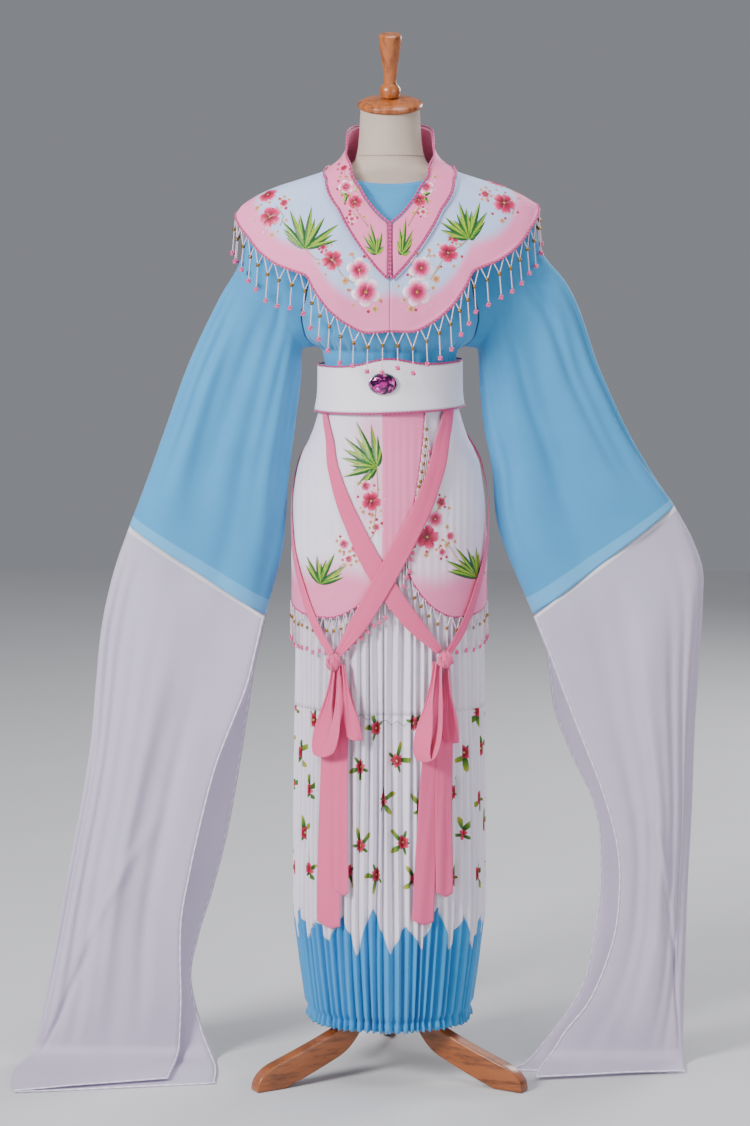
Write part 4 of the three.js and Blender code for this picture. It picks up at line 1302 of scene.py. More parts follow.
def model_object(
    name: str, model: Model, finishes: Sequence[object], nodes: Sequence[str] = ()
) -> bpy.types.Object:
    """Make a piece from a model.

    Args:
        name: The piece's name.
        model: The model, in millimetres about the stand's axis.
        finishes: The finishes of its slots.
        nodes: The nodes that it stands for.

    Returns:
        The object.
    """
    obj = mesh_object(name, to_frame(model.points), model.faces, finishes)
    obj.data.polygons.foreach_set("material_index", model.slots)
    write_values(obj, "tone", model.tones)
    obj.data.shade_smooth()
    return settle(obj, nodes)


def facing(ahead: Array) -> Array:
    """A turn that takes down, -z, to a direction."""
    down = Vector((0, 0, -1))
    return np.array(down.rotation_difference(Vector(ahead)).to_matrix())


# Stand and dress form


@dataclass
class DressForm:
    """The limbless form in linen, and its wooden stand."""

    columns: int = 96
    foot: float = 868.0
    neck_top: float = 1662.0
    tilt: float = 0.27
    ease: float = 3.2
    seam: float = 1583.0
    leg_thickness: float = 26.0

    def torso(self) -> None:
        """The form itself, closed at its foot and at the neck's slanting cut."""
        z = np.linspace(self.foot, self.neck_top, 130)
        shoulder = smoothstep(z, 1480, 1508) * (1 - smoothstep(z, 1540, 1561))
        angle = np.arange(self.columns) * 360 / self.columns
        grid = BODY.lifted(angle[None, :], z[:, None], (-self.ease - 5 * shoulder)[:, None] + 0 * angle)
        grid[..., 2] += grid[..., 1] * self.tilt * smoothstep(z, 1590, self.neck_top)[:, None]
        tall = np.array([along(column)[-1] for column in np.swapaxes(grid, 0, 1)]).mean() * MM
        girth = along(grid[40], True)[-1] * MM
        r, c = corners(len(z), self.columns, True)
        faces = (r * self.columns + c % self.columns).tolist()
        last = (len(z) - 1) * self.columns
        lids = [list(range(self.columns)), [last + k for k in range(self.columns)][::-1]]
        obj = mesh_object("form_linen", to_frame(grid.reshape(-1, 3)), faces + lids, [LINEN])
        places = np.stack([c / self.columns * girth, r / len(z) * tall], -1).reshape(-1, 2)
        caps = to_frame(np.concatenate([grid[0], grid[-1][::-1]]))[:, :2]
        write_places(obj, np.concatenate([places, caps]))
        in_edit(obj)
        out_of_edit()
        smooth_by_angle(obj, 40)
        settle(obj, ["form_torso"])
        ring = BODY.lifted(np.arange(72) * 5.0, np.full(72, self.seam), np.full(72, -self.ease + 0.1))
        tube("form_neck_seam", ring, 0.9, LINEN_SEAM, closed=True)

    def wooden(
        self, name: str, profile: Sequence[tuple[float, float]], sides: int, node: str, place: Matrix
    ) -> None:
        """A turned wooden part, moved to its place."""
        stand = Matrix.Translation(Vector(STAND))
        finished(turned_part(profile, sides), name, STAND_WOOD, stand @ place, 32, [node])

    def head(self) -> None:
        """The neck cap and the finial on it, square to the neck's cut."""
        tilted = Matrix.Rotation(math.atan(self.tilt), 4, "X")
        head = Matrix.Translation((0, 0, self.neck_top * MM)) @ tilted
        cap = [
            (50, 0), (53, 0.8), (54.6, 3), (54.8, 6), (54, 8.4), (50, 10.6), (44, 12.8), (32, 15.2),
            (20, 16.7), (4, 17),
        ]
        self.wooden("neck_cap_wood", cap, 72, "neck_cap", head @ Matrix.Translation((0, 0, 0.4 * MM)))
        turned = [
            (11, 0), (15.5, 2), (17.3, 7), (17.6, 12), (17, 17), (13.5, 21.5), (10.8, 24), (10.4, 28),
            (10.9, 36), (12.4, 50), (14.8, 66), (17, 80), (18.8, 95), (19.5, 101), (19, 105), (16.5, 107),
            (4, 107),
        ]
        self.wooden("finial_wood", turned, 48, "finial", head @ Matrix.Translation((0, 0, 17.7 * MM)))

    def under_skirt(self) -> None:
        """The base plate, the pole and the hub."""
        z = self.foot - 12.3
        plate = Matrix.Translation((0, 4 * MM, 0)) @ Matrix.Diagonal((1.36, 0.98, 1, 1))
        rim = [(98, z), (101, z + 1.5), (102, z + 6), (101.5, z + 10), (100, z + 12)]
        self.wooden("base_plate_wood", rim, 72, "base_plate", plate)
        pole = [(13.2, 322.3), (14, 323.3), (14, 600), (14, z - 1.3), (13.2, z - 0.3)]
        self.wooden("pole_wood", pole, 40, "pole", Matrix.Identity(4))
        hub = [
            (12, 184), (14, 188), (22, 191), (28, 197), (29, 203), (29, 300), (28, 308), (24, 317), (20, 322)
        ]
        self.wooden("hub_wood", hub, 48, "hub", Matrix.Identity(4))

    def leg_outline(self) -> Array:
        """A leg's outline in reach and height, from the hub's face down to the foot and back.

        Returns:
            Points of reach and height, in millimetres.
        """
        face = 29.3
        bends = [
            [(face, 214), (face + 6, 120), (64, 62), (104, 42)],
            [(104, 42), (140, 26), (176, 12), (212, 0)],
            [(212, 0), (230, 0), (250, 0), (266, 0)],
            [(266, 0), (268, 20), (252, 36), (226, 44)],
            [(226, 44), (190, 56), (150, 70), (112, 86)],
            [(112, 86), (84, 106), (66, 190), (56, 300)],
        ]
        t = np.linspace(0, 1, 17)[:-1, None]
        line = [np.array([[face, 300.0]])]
        for a, b, c, d in np.array(bends, float):
            line.append(a * (1 - t) ** 3 + 3 * b * t * (1 - t) ** 2 + 3 * c * t * t * (1 - t) + d * t**3)
        return np.concatenate(line + [np.array([[56.0, 300.0]])])

    def leg(self, name: str, bearing: float) -> None:
        """A leg sawn from a board, with its long edges rounded.

        Args:
            name: Its node's name.
            bearing: The direction that it points in, in degrees.
        """
        outline = self.leg_outline()
        half = self.leg_thickness / 2
        points = np.stack([outline[:, 0], np.full(len(outline), -half), outline[:, 1]], -1) * MM
        obj = mesh_object(name + "_wood", points, [range(len(points))], [])
        in_edit(obj)
        bpy.ops.mesh.extrude_region_move(TRANSFORM_OT_translate={"value": (0, 2 * half * MM, 0)})
        out_of_edit()
        modify(obj, "BEVEL", width=2.6 * MM, segments=3, limit_method="ANGLE", angle_limit=math.radians(60))
        place = Matrix.Translation(Vector(STAND)) @ Matrix.Rotation(math.radians(bearing), 4, "Z")
        finished(obj, name + "_wood", LEG_WOOD, place, 35, [name])

    def build(self) -> None:
        """Make the form and its stand."""
        self.torso()
        self.head()
        self.under_skirt()
        for name, bearing in (("leg_right", -150), ("leg_left", -30), ("leg_back", 90)):
            self.leg(name, bearing)


# Robe


@dataclass
class Blouse:
    """The sky-blue blouse: a front and a back with a scooped neck, gathered into the girdle."""

    lift: float = 1.4
    wall: float = 1.2
    foot: float = 1176.0
    neck: float = 1561.0
    shoulder: float = 1515.0
    underarm: float = 1262.0
    armhole: float = 56.0
    columns: int = 120
    rows: int = 110

    def armhole_depth(self, z: Array) -> Array:
        """How far the armhole opens to the front and to the back at a height."""
        share = (z - (self.shoulder + self.underarm) / 2) / ((self.shoulder - self.underarm) / 2)
        return np.maximum(0.2, self.armhole * np.sqrt(np.clip(1 - share * share, 0, None)))

    def half(self, back: bool) -> Array:
        """The points of the front or the back.

        Args:
            back: Whether it is the back.

        Returns:
            The points, in rows from the waist up.
        """
        u, row = np.meshgrid(np.linspace(0, 1, self.columns), np.linspace(self.foot, self.neck, self.rows))
        scoop = 12 if back else 27
        top = self.neck - scoop * np.sin(np.pi * u) ** (6 if back else 3)
        z = row - (self.neck - top) * smoothstep(row, 1380, self.neck)
        depth = BLOUSE.size(2 if back else 1, z)
        start = np.degrees(np.arcsin(np.clip(self.armhole_depth(z) / depth, 0, 1)))
        angle = mix(start, 180 - start, u)
        grid = BLOUSE.lifted(-angle if back else angle, z, np.full(z.shape, self.lift + self.wall))
        rng = np.random.default_rng(SEED + back)
        creases = []
        for k, place in enumerate(np.linspace(0.06, 0.94, 17) + wander(17, rng, -0.02, 0.02)):
            high = 0.26 + 0.1 * rng.random() + 0.06 * (k % 3)
            drift = 0.03 * rng.normal()
            width = 4 + 4 * rng.random()
            deep = 2.2 + 2.4 * rng.random()
            creases.append(Crease((place, 0.13), (place + drift, high), width, deep))
        creases += [
            Crease((0.1, 0.3), (0.3, 0.62), 13, 4), Crease((0.9, 0.3), (0.72, 0.6), 14, 4.5),
            Crease((0.2, 0.26), (0.36, 0.46), 10, 3), Crease((0.82, 0.25), (0.66, 0.44), 9, 3),
        ]
        fade = smoothstep(u, 0, 0.05) * (1 - smoothstep(u, 0.95, 1))
        return pushed(grid, creased(grid, creases) * fade, axis_hub)

    def build(self) -> None:
        """Make the front, the back and the neck's narrow binding."""
        for word, back in (("front", False), ("back", True)):
            grid = self.half(back)
            cloth(
                "blouse_" + word + "_cloth", grid, BLUE_CHIFFON, ["blouse_" + word],
                ["form_linen"], wall=0.9,
            )
            tube("blouse_neck_" + word, grid[-1] * [0.995, 0.99, 1], 0.9, BLUE_HEM)


# x and height of the upper edge, x and height of the lower edge, and half the depth
SLEEVE_ROWS = {
    Side.RIGHT: [
        (222, 1500, 148, 1258, 52), (241, 1468, 149, 1254, 50), (249, 1420, 150, 1247, 49),
        (290, 1342, 150, 1214, 48), (340, 1238, 160, 1128, 46), (384, 1119, 172, 1034, 46),
        (415, 1034, 182, 922, 45), (445, 957, 213, 803, 44),
    ],
    Side.LEFT: [
        (222, 1503, 148, 1258, 52), (241, 1474, 149, 1254, 50), (252, 1432, 150, 1247, 49),
        (298, 1370, 151, 1214, 48), (357, 1222, 160, 1122, 46), (404, 1120, 174, 1052, 46),
        (444, 1052, 184, 957, 45), (485, 992, 245, 804, 44),
    ],
}
# x and height of the fold, of the front edge and of the back edge, half the gap between them, and the lap
WATER_ROWS = {
    Side.RIGHT: [
        (445, 956.4, 213, 802.4, 213, 802.4, 42, 0), (472, 881, 224, 755, 221, 762, 43, 0),
        (495, 786, 242, 683, 232, 716, 42, 2), (508, 677, 270, 612, 242, 655, 40, 4),
        (517, 588, 296, 545, 252, 590, 38, 6), (534, 484, 320, 458, 266, 505, 34, 7),
        (555, 381, 345, 349, 286, 400, 31, 7), (574, 283, 361, 262, 312, 300, 27, 6),
        (592, 186, 364, 186, 336, 222, 23, 5), (612, 90, 364, 110, 350, 140, 17, 3),
        (632, 16, 368, 34, 330, 52, 9, 1), (652, -60, 374, -38, 306, -12, 4, 0),
        (652, -126, 378, -88, 299, -72, 3.6, 0), (638, -196, 380, -128, 299, -140, 3.4, 0),
    ],
    Side.LEFT: [
        (485, 991.4, 245, 803.4, 245, 803.4, 42, 0), (515, 938, 259, 768, 260, 770, 43, 0),
        (535, 885, 274, 731, 270, 738, 42, 4), (537, 830, 296, 672, 277, 690, 40, 10),
        (532, 715, 326, 596, 286, 628, 37, 14), (527, 592, 364, 500, 318, 545, 34, 16),
        (525, 469, 390, 412, 356, 462, 30, 16), (520, 317, 398, 320, 369, 360, 26, 14),
        (518, 178, 384, 210, 360, 240, 21, 10), (517, 90, 346, 112, 336, 132, 15, 6),
        (516, 20, 296, 40, 284, 52, 8, 2), (515, -22, 262, -40, 232, -8, 4, 0),
        (514, -56, 250, -104, 206, -44, 3.4, 0),
    ],
}


def hanging(
    rng: np.random.Generator, places: Iterable[float], reach: tuple[float, float], depth: float
) -> list[Crease]:
    """Long soft folds down a piece of hanging cloth.

    Args:
        rng: Where their wander comes from.
        places: Their shares across the cloth.
        reach: The shares down the cloth between which they run.
        depth: How deep they are, in millimetres.

    Returns:
        The folds.
    """
    folds = []
    for place in places:
        start = reach[0] + 0.3 * rng.random()
        end = reach[1] - 0.25 * rng.random()
        drift = 0.025 * rng.normal()
        wide = 9 + 12 * rng.random()
        deep = depth * (0.6 + 0.05 * wide * rng.random())
        folds.append(Crease((place, start), (place + drift, end), wide, deep))
    return folds


@dataclass
class Sleeve:
    """A wide blue sleeve with the white water sleeve sewn to its cuff, and the rolled hem on that."""

    side: Side
    lean: float
    blouse: Blouse
    columns: int = 144
    fold: float = 7.0
    floor_bend: float = 30.0
    hem: float = 1.5

    def tube_grid(self) -> Array:
        """The blue sleeve's points, from the armhole to the cuff.

        Returns:
            The points, in closed rows.
        """
        rows = SLEEVE_ROWS[self.side]
        a = np.arange(self.columns) * math.tau / self.columns
        b = self.blouse
        middle, half = (b.shoulder + b.underarm) / 2, (b.shoulder - b.underarm) / 2
        z = middle + (half - 0.3) * np.cos(a)
        y = -(b.armhole - 0.6) * np.sin(a)
        depth = np.where(y < 0, BLOUSE.size(1, z), BLOUSE.size(2, z))
        x = (BLOUSE.size(0, z) + b.lift + b.wall) * np.sqrt(1 - (y / depth) ** 2) + 1
        rings = [np.stack([self.side.value * x, y, z], -1)]
        share = (1 - np.cos(a)) / 2
        turn = np.sign(np.sin(a))
        for k, (top_x, top_z, under_x, under_z, deep) in enumerate(rows):
            grown = smoothstep(k, 1, len(rows) - 2)
            fold = self.fold * grown * np.sin(a) ** 2 * np.cos(7.5 * share - 0.8 * turn)
            y = -deep * turn * np.abs(np.sin(a)) ** 0.8 - fold * turn
            x = self.side.value * mix(top_x, under_x, share)
            rings.append(np.stack([x, y, mix(top_z, under_z, share)], -1))
        grid = more_rows(np.array(rings), 120)
        fade = smoothstep(np.arange(120), 2, 16) * (1 - smoothstep(np.arange(120), 112, 119))
        rng = np.random.default_rng(SEED + self.side.value)
        places = np.r_[np.linspace(0.07, 0.46, 8), np.linspace(0.56, 0.92, 6)]
        moved = creased(grid, hanging(rng, places, (0.02, 1.0), 7), True) * fade[:, None]
        return pushed(grid, moved, row_hub, True)

    def fallen(self, x: Array, fall: Array, side: Array, lowest: Array) -> Array:
        """Points of hanging cloth, bent forward where it reaches the floor.

        Args:
            x: How far to the side each point hangs.
            fall: Its height, going on below 0 along the floor.
            side: Its distance behind the sleeve's middle.
            lowest: How high it lies once it is on the floor.

        Returns:
            The points.
        """
        bend = self.floor_bend
        back = self.lean * (1 - np.clip(fall, 0, 950) / 950)
        turn = np.clip((bend - fall) / bend, 0, math.pi / 2)
        run = np.maximum(0, bend - bend * math.pi / 2 - fall)
        y = back - bend + bend * np.cos(turn) - run + side * np.cos(turn)
        z = np.maximum(fall, bend) - bend * np.sin(turn) - side * np.sin(turn)
        return np.stack([x, y, z + lowest * smoothstep(turn, 0, math.pi / 2)], -1)

    def water_grid(self) -> Array:
        """The water sleeve's points, from the cuff to the floor: its front edge first, then the fold.

        Returns:
            The points, in rows.
        """
        rows = WATER_ROWS[self.side]
        a = np.linspace(0, math.pi, 112)
        front = a < math.pi / 2
        across = np.clip(np.sin(a), 0, 1) ** 0.85
        rings = []
        for k, (fold_x, fold_z, front_x, front_z, back_x, back_z, gape, over) in enumerate(rows):
            x = mix(np.where(front, front_x, back_x), fold_x, across)
            fall = mix(np.where(front, front_z, back_z), fold_z, across)
            turn = np.sign(np.cos(a)) * np.abs(np.cos(a)) ** 0.62
            waves = np.cos(11 * across + np.where(front, 0, 2))
            soft = gape / 42 * smoothstep(k, 0, 3) * 6 * np.sin(2 * a) ** 2 * waves
            band = smoothstep(across, 0.42, 0.56) * (1 - smoothstep(across, 0.86, 1))
            lap = np.where(front, over * band, 0)
            rings.append(np.stack([x, fall, -gape * turn - soft - lap, np.full(len(a), gape)], -1))
        fine = more_rows(np.array(rings), 170)
        grid = self.fallen(self.side.value * fine[..., 0], fine[..., 1], fine[..., 2], fine[..., 3])
        grid[..., 2] = np.maximum(grid[..., 2], 0)
        standing = smoothstep(fine[..., 1], -20, 60)
        u = np.linspace(0, 1, 112)
        calm = smoothstep(np.arange(170), 1, 12)[:, None] * smoothstep(np.abs(u - 0.5), 0.0, 0.06)[None, :]
        rng = np.random.default_rng(SEED + 4 + self.side.value)
        folds = hanging(rng, np.linspace(0.08, 0.44, 7), (0.0, 1.0), 7)
        folds += hanging(rng, np.linspace(0.57, 0.9, 5), (0.0, 1.0), 7)
        folds += [Crease((0.1, 0.42), (0.3, 0.7), 10, -4), Crease((0.22, 0.6), (0.42, 0.9), 9, 5)]
        moved = creased(grid, folds) * calm * mix(0.25, 1, standing)
        grid = pushed(grid, moved, row_hub)
        grid[..., 2] = np.maximum(grid[..., 2], 0)
        return grid

    def build(self) -> tuple[Piece, Piece]:
        """Make both sleeves and the rolled hem.

        Returns:
            The blue sleeve and the water sleeve.
        """
        word = self.side.word
        grid = self.tube_grid()
        down = np.linspace(0, 1, len(grid))
        seam = smoothstep(down, 0.955, 0.962)[:, None]
        upper = cloth(
            f"sleeve_{word}_cloth", grid, BLUE_CHIFFON, ["sleeve_" + word], ["blouse_front_cloth"],
            hub=row_hub, closed=True, attributes={"band": seam * 0.75},
        )
        water = self.water_grid()
        seam = (1 - smoothstep(np.linspace(0, 1, len(water)), 0.004, 0.01))[:, None]
        lower = cloth(
            f"water_sleeve_{word}_cloth", water, WHITE_CHIFFON, ["water_sleeve_" + word],
            [f"sleeve_{word}_cloth"], hub=row_hub, attributes={"band": seam * 0.8},
        )
        inset = water[:, [1, -2]]
        edge = np.concatenate([water[:, 0], water[-1, 1:], water[::-1, -1][1:]])
        inner = np.concatenate([inset[:, 0], water[-2, 1:], inset[::-1, 1][1:]])
        line = edge + (inner - edge) * 0.25
        line[:, 2] = np.maximum(line[:, 2], self.hem)
        tube(f"water_sleeve_hem_{word}", line, self.hem, HEM_ROLL, sides=6)
        return upper, lower


@dataclass
class Skirt:
    """The accordion-pleated skirt: a plain upper tier, a printed lower tier and a blue hem along a zigzag."""

    pleats: int = 66
    steps: int = 8
    waist: float = 1182.0
    tuck: float = 648.0
    foot: float = 96.0
    tips: int = 18
    tip_low: float = 226.0
    tip_high: float = 312.0
    wall: float = 0.8

    def __post_init__(self) -> None:
        """Choose each pleat's width, depth and sway."""
        rng = np.random.default_rng(SEED)
        widths = wander(self.pleats, rng, 0.72, 1.32)
        self.starts = np.r_[0, np.cumsum(widths)] / widths.sum() * 360
        self.deep = wander(self.pleats, rng, 0.7, 1.12)
        self.phase = wander(self.pleats, rng, 0, math.tau)
        self.pace = wander(self.pleats, rng, 80, 200)
        self.skew = wander(self.pleats, rng, 1.0, 2.1)
        self.low_tips = wander(self.tips, rng, self.tip_low - 4, self.tip_low + 34)
        self.high_tips = wander(self.tips, rng, self.tip_high - 28, self.tip_high + 16)
        self.depth = Curve.through(SKIRT_EASE, 4)

    def angles(self) -> Array:
        """The even angle of every column."""
        t = np.arange(self.steps) / self.steps
        return (self.starts[:-1, None] + np.diff(self.starts)[:, None] * t).ravel()

    def zigzag(self, angle: Array) -> Array:
        """The height of the zigzag at an angle.

        Args:
            angle: Degrees round the axis.

        Returns:
            Heights in millimetres.
        """
        turn = (angle / 360 * self.tips) % self.tips
        number = np.floor(turn).astype(int) % self.tips
        share = 2 * (turn % 1) - 1
        high = np.where(share < 0, self.high_tips[number], self.high_tips[(number + 1) % self.tips])
        return mix(self.low_tips[number], high, np.abs(share) ** 0.9)

    def ring(self, z: Array) -> Array:
        """The points of the pleats at each column's height, for many rows.

        Args:
            z: Heights, in rows.

        Returns:
            Points in rows.
        """
        number = np.repeat(np.arange(self.pleats), self.steps)
        t = np.tile(np.arange(self.steps) / self.steps, self.pleats)
        free = smoothstep(z, 1100, 700)
        knife = t ** self.skew[number]
        fold = 0.5 - 0.5 * np.cos(math.tau * knife)
        fold = mix(fold, 1 - np.abs(2 * knife - 1), 0.6)
        sway = np.sin(z / self.pace[number] + self.phase[number])
        next_number = (number + 1) % self.pleats
        next_sway = np.sin(z / self.pace[next_number] + self.phase[next_number])
        angle = self.angles() + 0.75 * free * mix(sway, next_sway, t)
        swell = 1 + 0.2 * free * np.sin(z / 90 + 2.1 * self.phase[number])
        deep = self.depth(z) * self.deep[number] * swell * mix(1.7, 1, smoothstep(z, 800, 900))
        around = np.radians(self.angles())
        bunch = 1.6 * free * (1 + np.sin(7 * around + z / 210))
        bunch += 1.1 * free * (1 + np.sin(11 * around - z / 160 + 1))
        drawn = np.exp(-(((z - self.foot - 19) / 6) ** 2)) * 4.0
        lowest = 1 - smoothstep(z, self.foot, self.foot + 16)
        flare = lowest * 3.4 * np.sin(2.0 * math.tau * t + self.phase[number])
        lift = -deep * fold - bunch - drawn + flare - 1.2 * (1 - smoothstep(z, self.foot, self.foot + 30))
        return SKIRT.lifted(angle, z, lift)

    def tier(self, name: str, node: str, top: Array, bottom: Array, rows: int, finish: ClothFinish) -> Piece:
        """One tier of the skirt, between two heights at each column.

        Args:
            name: The tier's name.
            node: The node that it stands for.
            top: The height of each column's top.
            bottom: The height of its foot.
            rows: How many rows the grid has.
            finish: The tier's finish.

        Returns:
            The tier.
        """
        v = np.linspace(0, 1, rows)[:, None]
        z = bottom + (top - bottom) * v
        grid = self.ring(z)
        girth = along(self.ring(np.full((1, z.shape[1]), 620.0))[0], True)
        uv = np.empty((rows, z.shape[1] + 1, 2))
        uv[..., 0] = girth * MM
        uv[..., 1] = np.concatenate([z, z[:, :1]], axis=1) * MM
        return cloth(
            name, grid, finish, [node], ["girdle_cloth"], closed=True, wall=self.wall, uv=uv
        )

    def build(self) -> None:
        """Make the tiers and the tacking thread."""
        angle = self.angles()
        full = np.ones(len(angle))
        edge = self.zigzag(angle)
        self.tier("skirt_upper_cloth", "skirt_upper", self.waist * full, self.tuck * full, 64, PLEATED_WHITE)
        self.tier("skirt_lower_cloth", "skirt_lower", (self.tuck - 0.06) * full, edge, 56, PRINTED_WHITE)
        self.tier("skirt_hem_cloth", "skirt_hem_band", edge - 0.1, self.foot * full, 52, PLEATED_BLUE)
        turn = np.linspace(66, 112, 90)
        height = 650 + 16 * np.cos(np.radians(turn * 2.4)) + 3 * np.sin(turn * 0.9)
        tube("skirt_tack_thread", SKIRT.lifted(turn, height, np.full(90, 0.5)), 0.45, TACK_THREAD, sides=5)


# Angle and height of the side edge
PANEL_SIDES = [
    (-1, 1172), (-6, 1112), (-11, 1050), (-9, 990), (-4, 944), (-1, 905), (0, 874), (1, 853), (2, 840),
    (3, 830),
]
# Share along the panel, and x and height of its edge in front
PANEL_CENTRES = {
    Side.RIGHT: [
        (0, 56, 1172), (0.15, 52, 1112), (0.3, 44, 1040), (0.45, 34, 978), (0.58, 20, 926), (0.7, -6, 884),
        (0.8, -34, 852), (0.88, -58, 830), (0.94, -78, 818), (1, -92, 812),
    ],
    Side.LEFT: [
        (0, 40, 1172), (0.15, 30, 1112), (0.3, 24, 1040), (0.45, 22, 978), (0.58, 26, 926), (0.7, 34, 884),
        (0.8, 52, 852), (0.88, 72, 830), (0.94, 90, 818), (1, 104, 812),
    ],
}
PANEL_ROWS = {
    side: [centre + edge for centre, edge in zip(rows, PANEL_SIDES)] for side, rows in PANEL_CENTRES.items()
}
# Share along the panel, angle and height of its edge at the back, and of its side edge
BACK_PANEL_ROWS = [
    (0, -87.6, 1172, -3, 1172), (0.3, -87.8, 1050, -8, 1050), (0.5, -87.6, 960, -5, 960),
    (0.65, -84, 905, 1, 902), (0.8, -74, 860, 6, 868), (0.9, -62, 830, 7, 846), (1, -46, 814, 2, 826),
]


@dataclass
class HipPanel:
    """One of the four lobed satin panels over the hips, with its piping and bead fringe."""

    side: Side
    back: bool
    lift: float
    cord_from: float
    beads_from: float
    bead_pitch: float = 19.0
    wall: float = 1.0
    piping: float = 1.7

    @property
    def name(self) -> str:
        """The panel's name, after the node's."""
        return f"{'back' if self.back else 'front'}_{self.side.word}"

    def points(self, u: Array, v: Array, height: float) -> Array:
        """Points of the panel at shares across and along it, at a height over its inner face.

        Args:
            u: Shares from the panel's front edge to its side edge.
            v: Shares from the waist to the lobe.
            height: Millimetres over the inner face.

        Returns:
            The points.
        """
        rows = BACK_PANEL_ROWS if self.back else PANEL_ROWS[self.side]
        centre, centre_z, side, side_z = (Curve.through(rows, k)(v) for k in (1, 2, 3, 4))
        centre = sided(centre, self.side) if self.back else SKIRT.angle_at(centre, centre_z)
        angle = mix(centre, sided(side, self.side), u)
        z = mix(centre_z, side_z, u) - 7 * np.sin(math.pi * u) * smoothstep(v, 0.86, 1)
        return SKIRT.lifted(angle, z, self.lift + height + 0 * z)

    def dye(self, grid: Array, v: Array) -> Array:
        """How pink the panel is at each point: its lobe, its edges, and the strip down the right front.

        Args:
            grid: The panel's points.
            v: Shares from the waist to the lobe.

        Returns:
            Shares from 0, blue, to 1, pink.
        """
        z, x = grid[..., 2], grid[..., 0]
        cloudy = 6 * np.sin(x / 41) + 3 * np.sin(x / 17 + z / 31)
        lobe = 1 - smoothstep(z + cloudy, 858, 920)
        if not self.back and self.side is Side.RIGHT:
            strip = smoothstep(x, -14.5, -12.5) * smoothstep(z, 868, 876)
            spot = 0.55 * np.exp(-(((x + 30) / 26) ** 2))
            blush = spot * smoothstep(z, 1180, 1130) * smoothstep(z, 940, 1000)
            return np.clip(np.maximum(np.maximum(lobe, strip), blush), 0, 1)
        return np.clip(np.maximum(lobe, 0.25 * (1 - smoothstep(z, 880, 1000))), 0, 1)

    def build(self) -> Piece:
        """Make the panel, its piping and its beads.

        Returns:
            The panel.
        """
        u, v = np.meshgrid(np.linspace(0, 1, 150), np.linspace(0, 1, 90))
        grid = self.points(u, v, self.wall)
        soft = 0.5 * np.sin(7 * u + 2 * v) * smoothstep(v, 0.1, 0.5) * smoothstep(1 - v, 0, 0.1)
        around = 0.5 * grid[..., 0] + 0.9 * np.sin(grid[..., 0] / 19)
        shown = 0.34 * (1 + np.sin(around)) * smoothstep(v, 0.04, 0.2) * (1 - smoothstep(v, 0.62, 0.85))
        grid = pushed(grid, np.abs(soft) + shown, axis_hub)
        piece = cloth(
            f"hip_panel_{self.name}_cloth", grid, PANEL_SATIN, ["hip_panel_" + self.name],
            ["girdle_cloth", "skirt_upper_cloth"], wall=self.wall, attributes={"dye": self.dye(grid, v)},
        )
        down = np.linspace(self.cord_from, 1, 60)
        over = np.linspace(0, 1, 70)[1:]
        small = 0.02
        edge = [self.points(0 * down, down, 0.5), self.points(over, 1 + 0 * over, 0.5)]
        inner = [self.points(0 * down + small, down, 0.5), self.points(over, 1 - small + 0 * over, 0.5)]
        line = evenly(beside(np.concatenate(edge), np.concatenate(inner), 0.8), 190)
        for _ in range(12):
            line[1:-1] = (line[:-2] + 2 * line[1:-1] + line[2:]) / 4
        tube(f"hip_piping_{self.name}", line, self.piping, ROSE_CORD)
        hanging = np.linspace(self.beads_from, 1, 60)
        root = np.concatenate([self.points(0 * hanging, hanging, 0.5), edge[1]])
        root_in = np.concatenate([self.points(0 * hanging + small, hanging, 0.5), inner[1]])
        rest = Rest(SKIRT, self.lift + self.wall + 0.9)
        BeadFringe(self.bead_pitch, 22, 34, 2.0, (rest,), 0.55).build(
            f"hip_fringe_{self.name}_beads", beside(root, root_in, 1.2), ["hip_fringe_" + self.name]
        )
        return piece


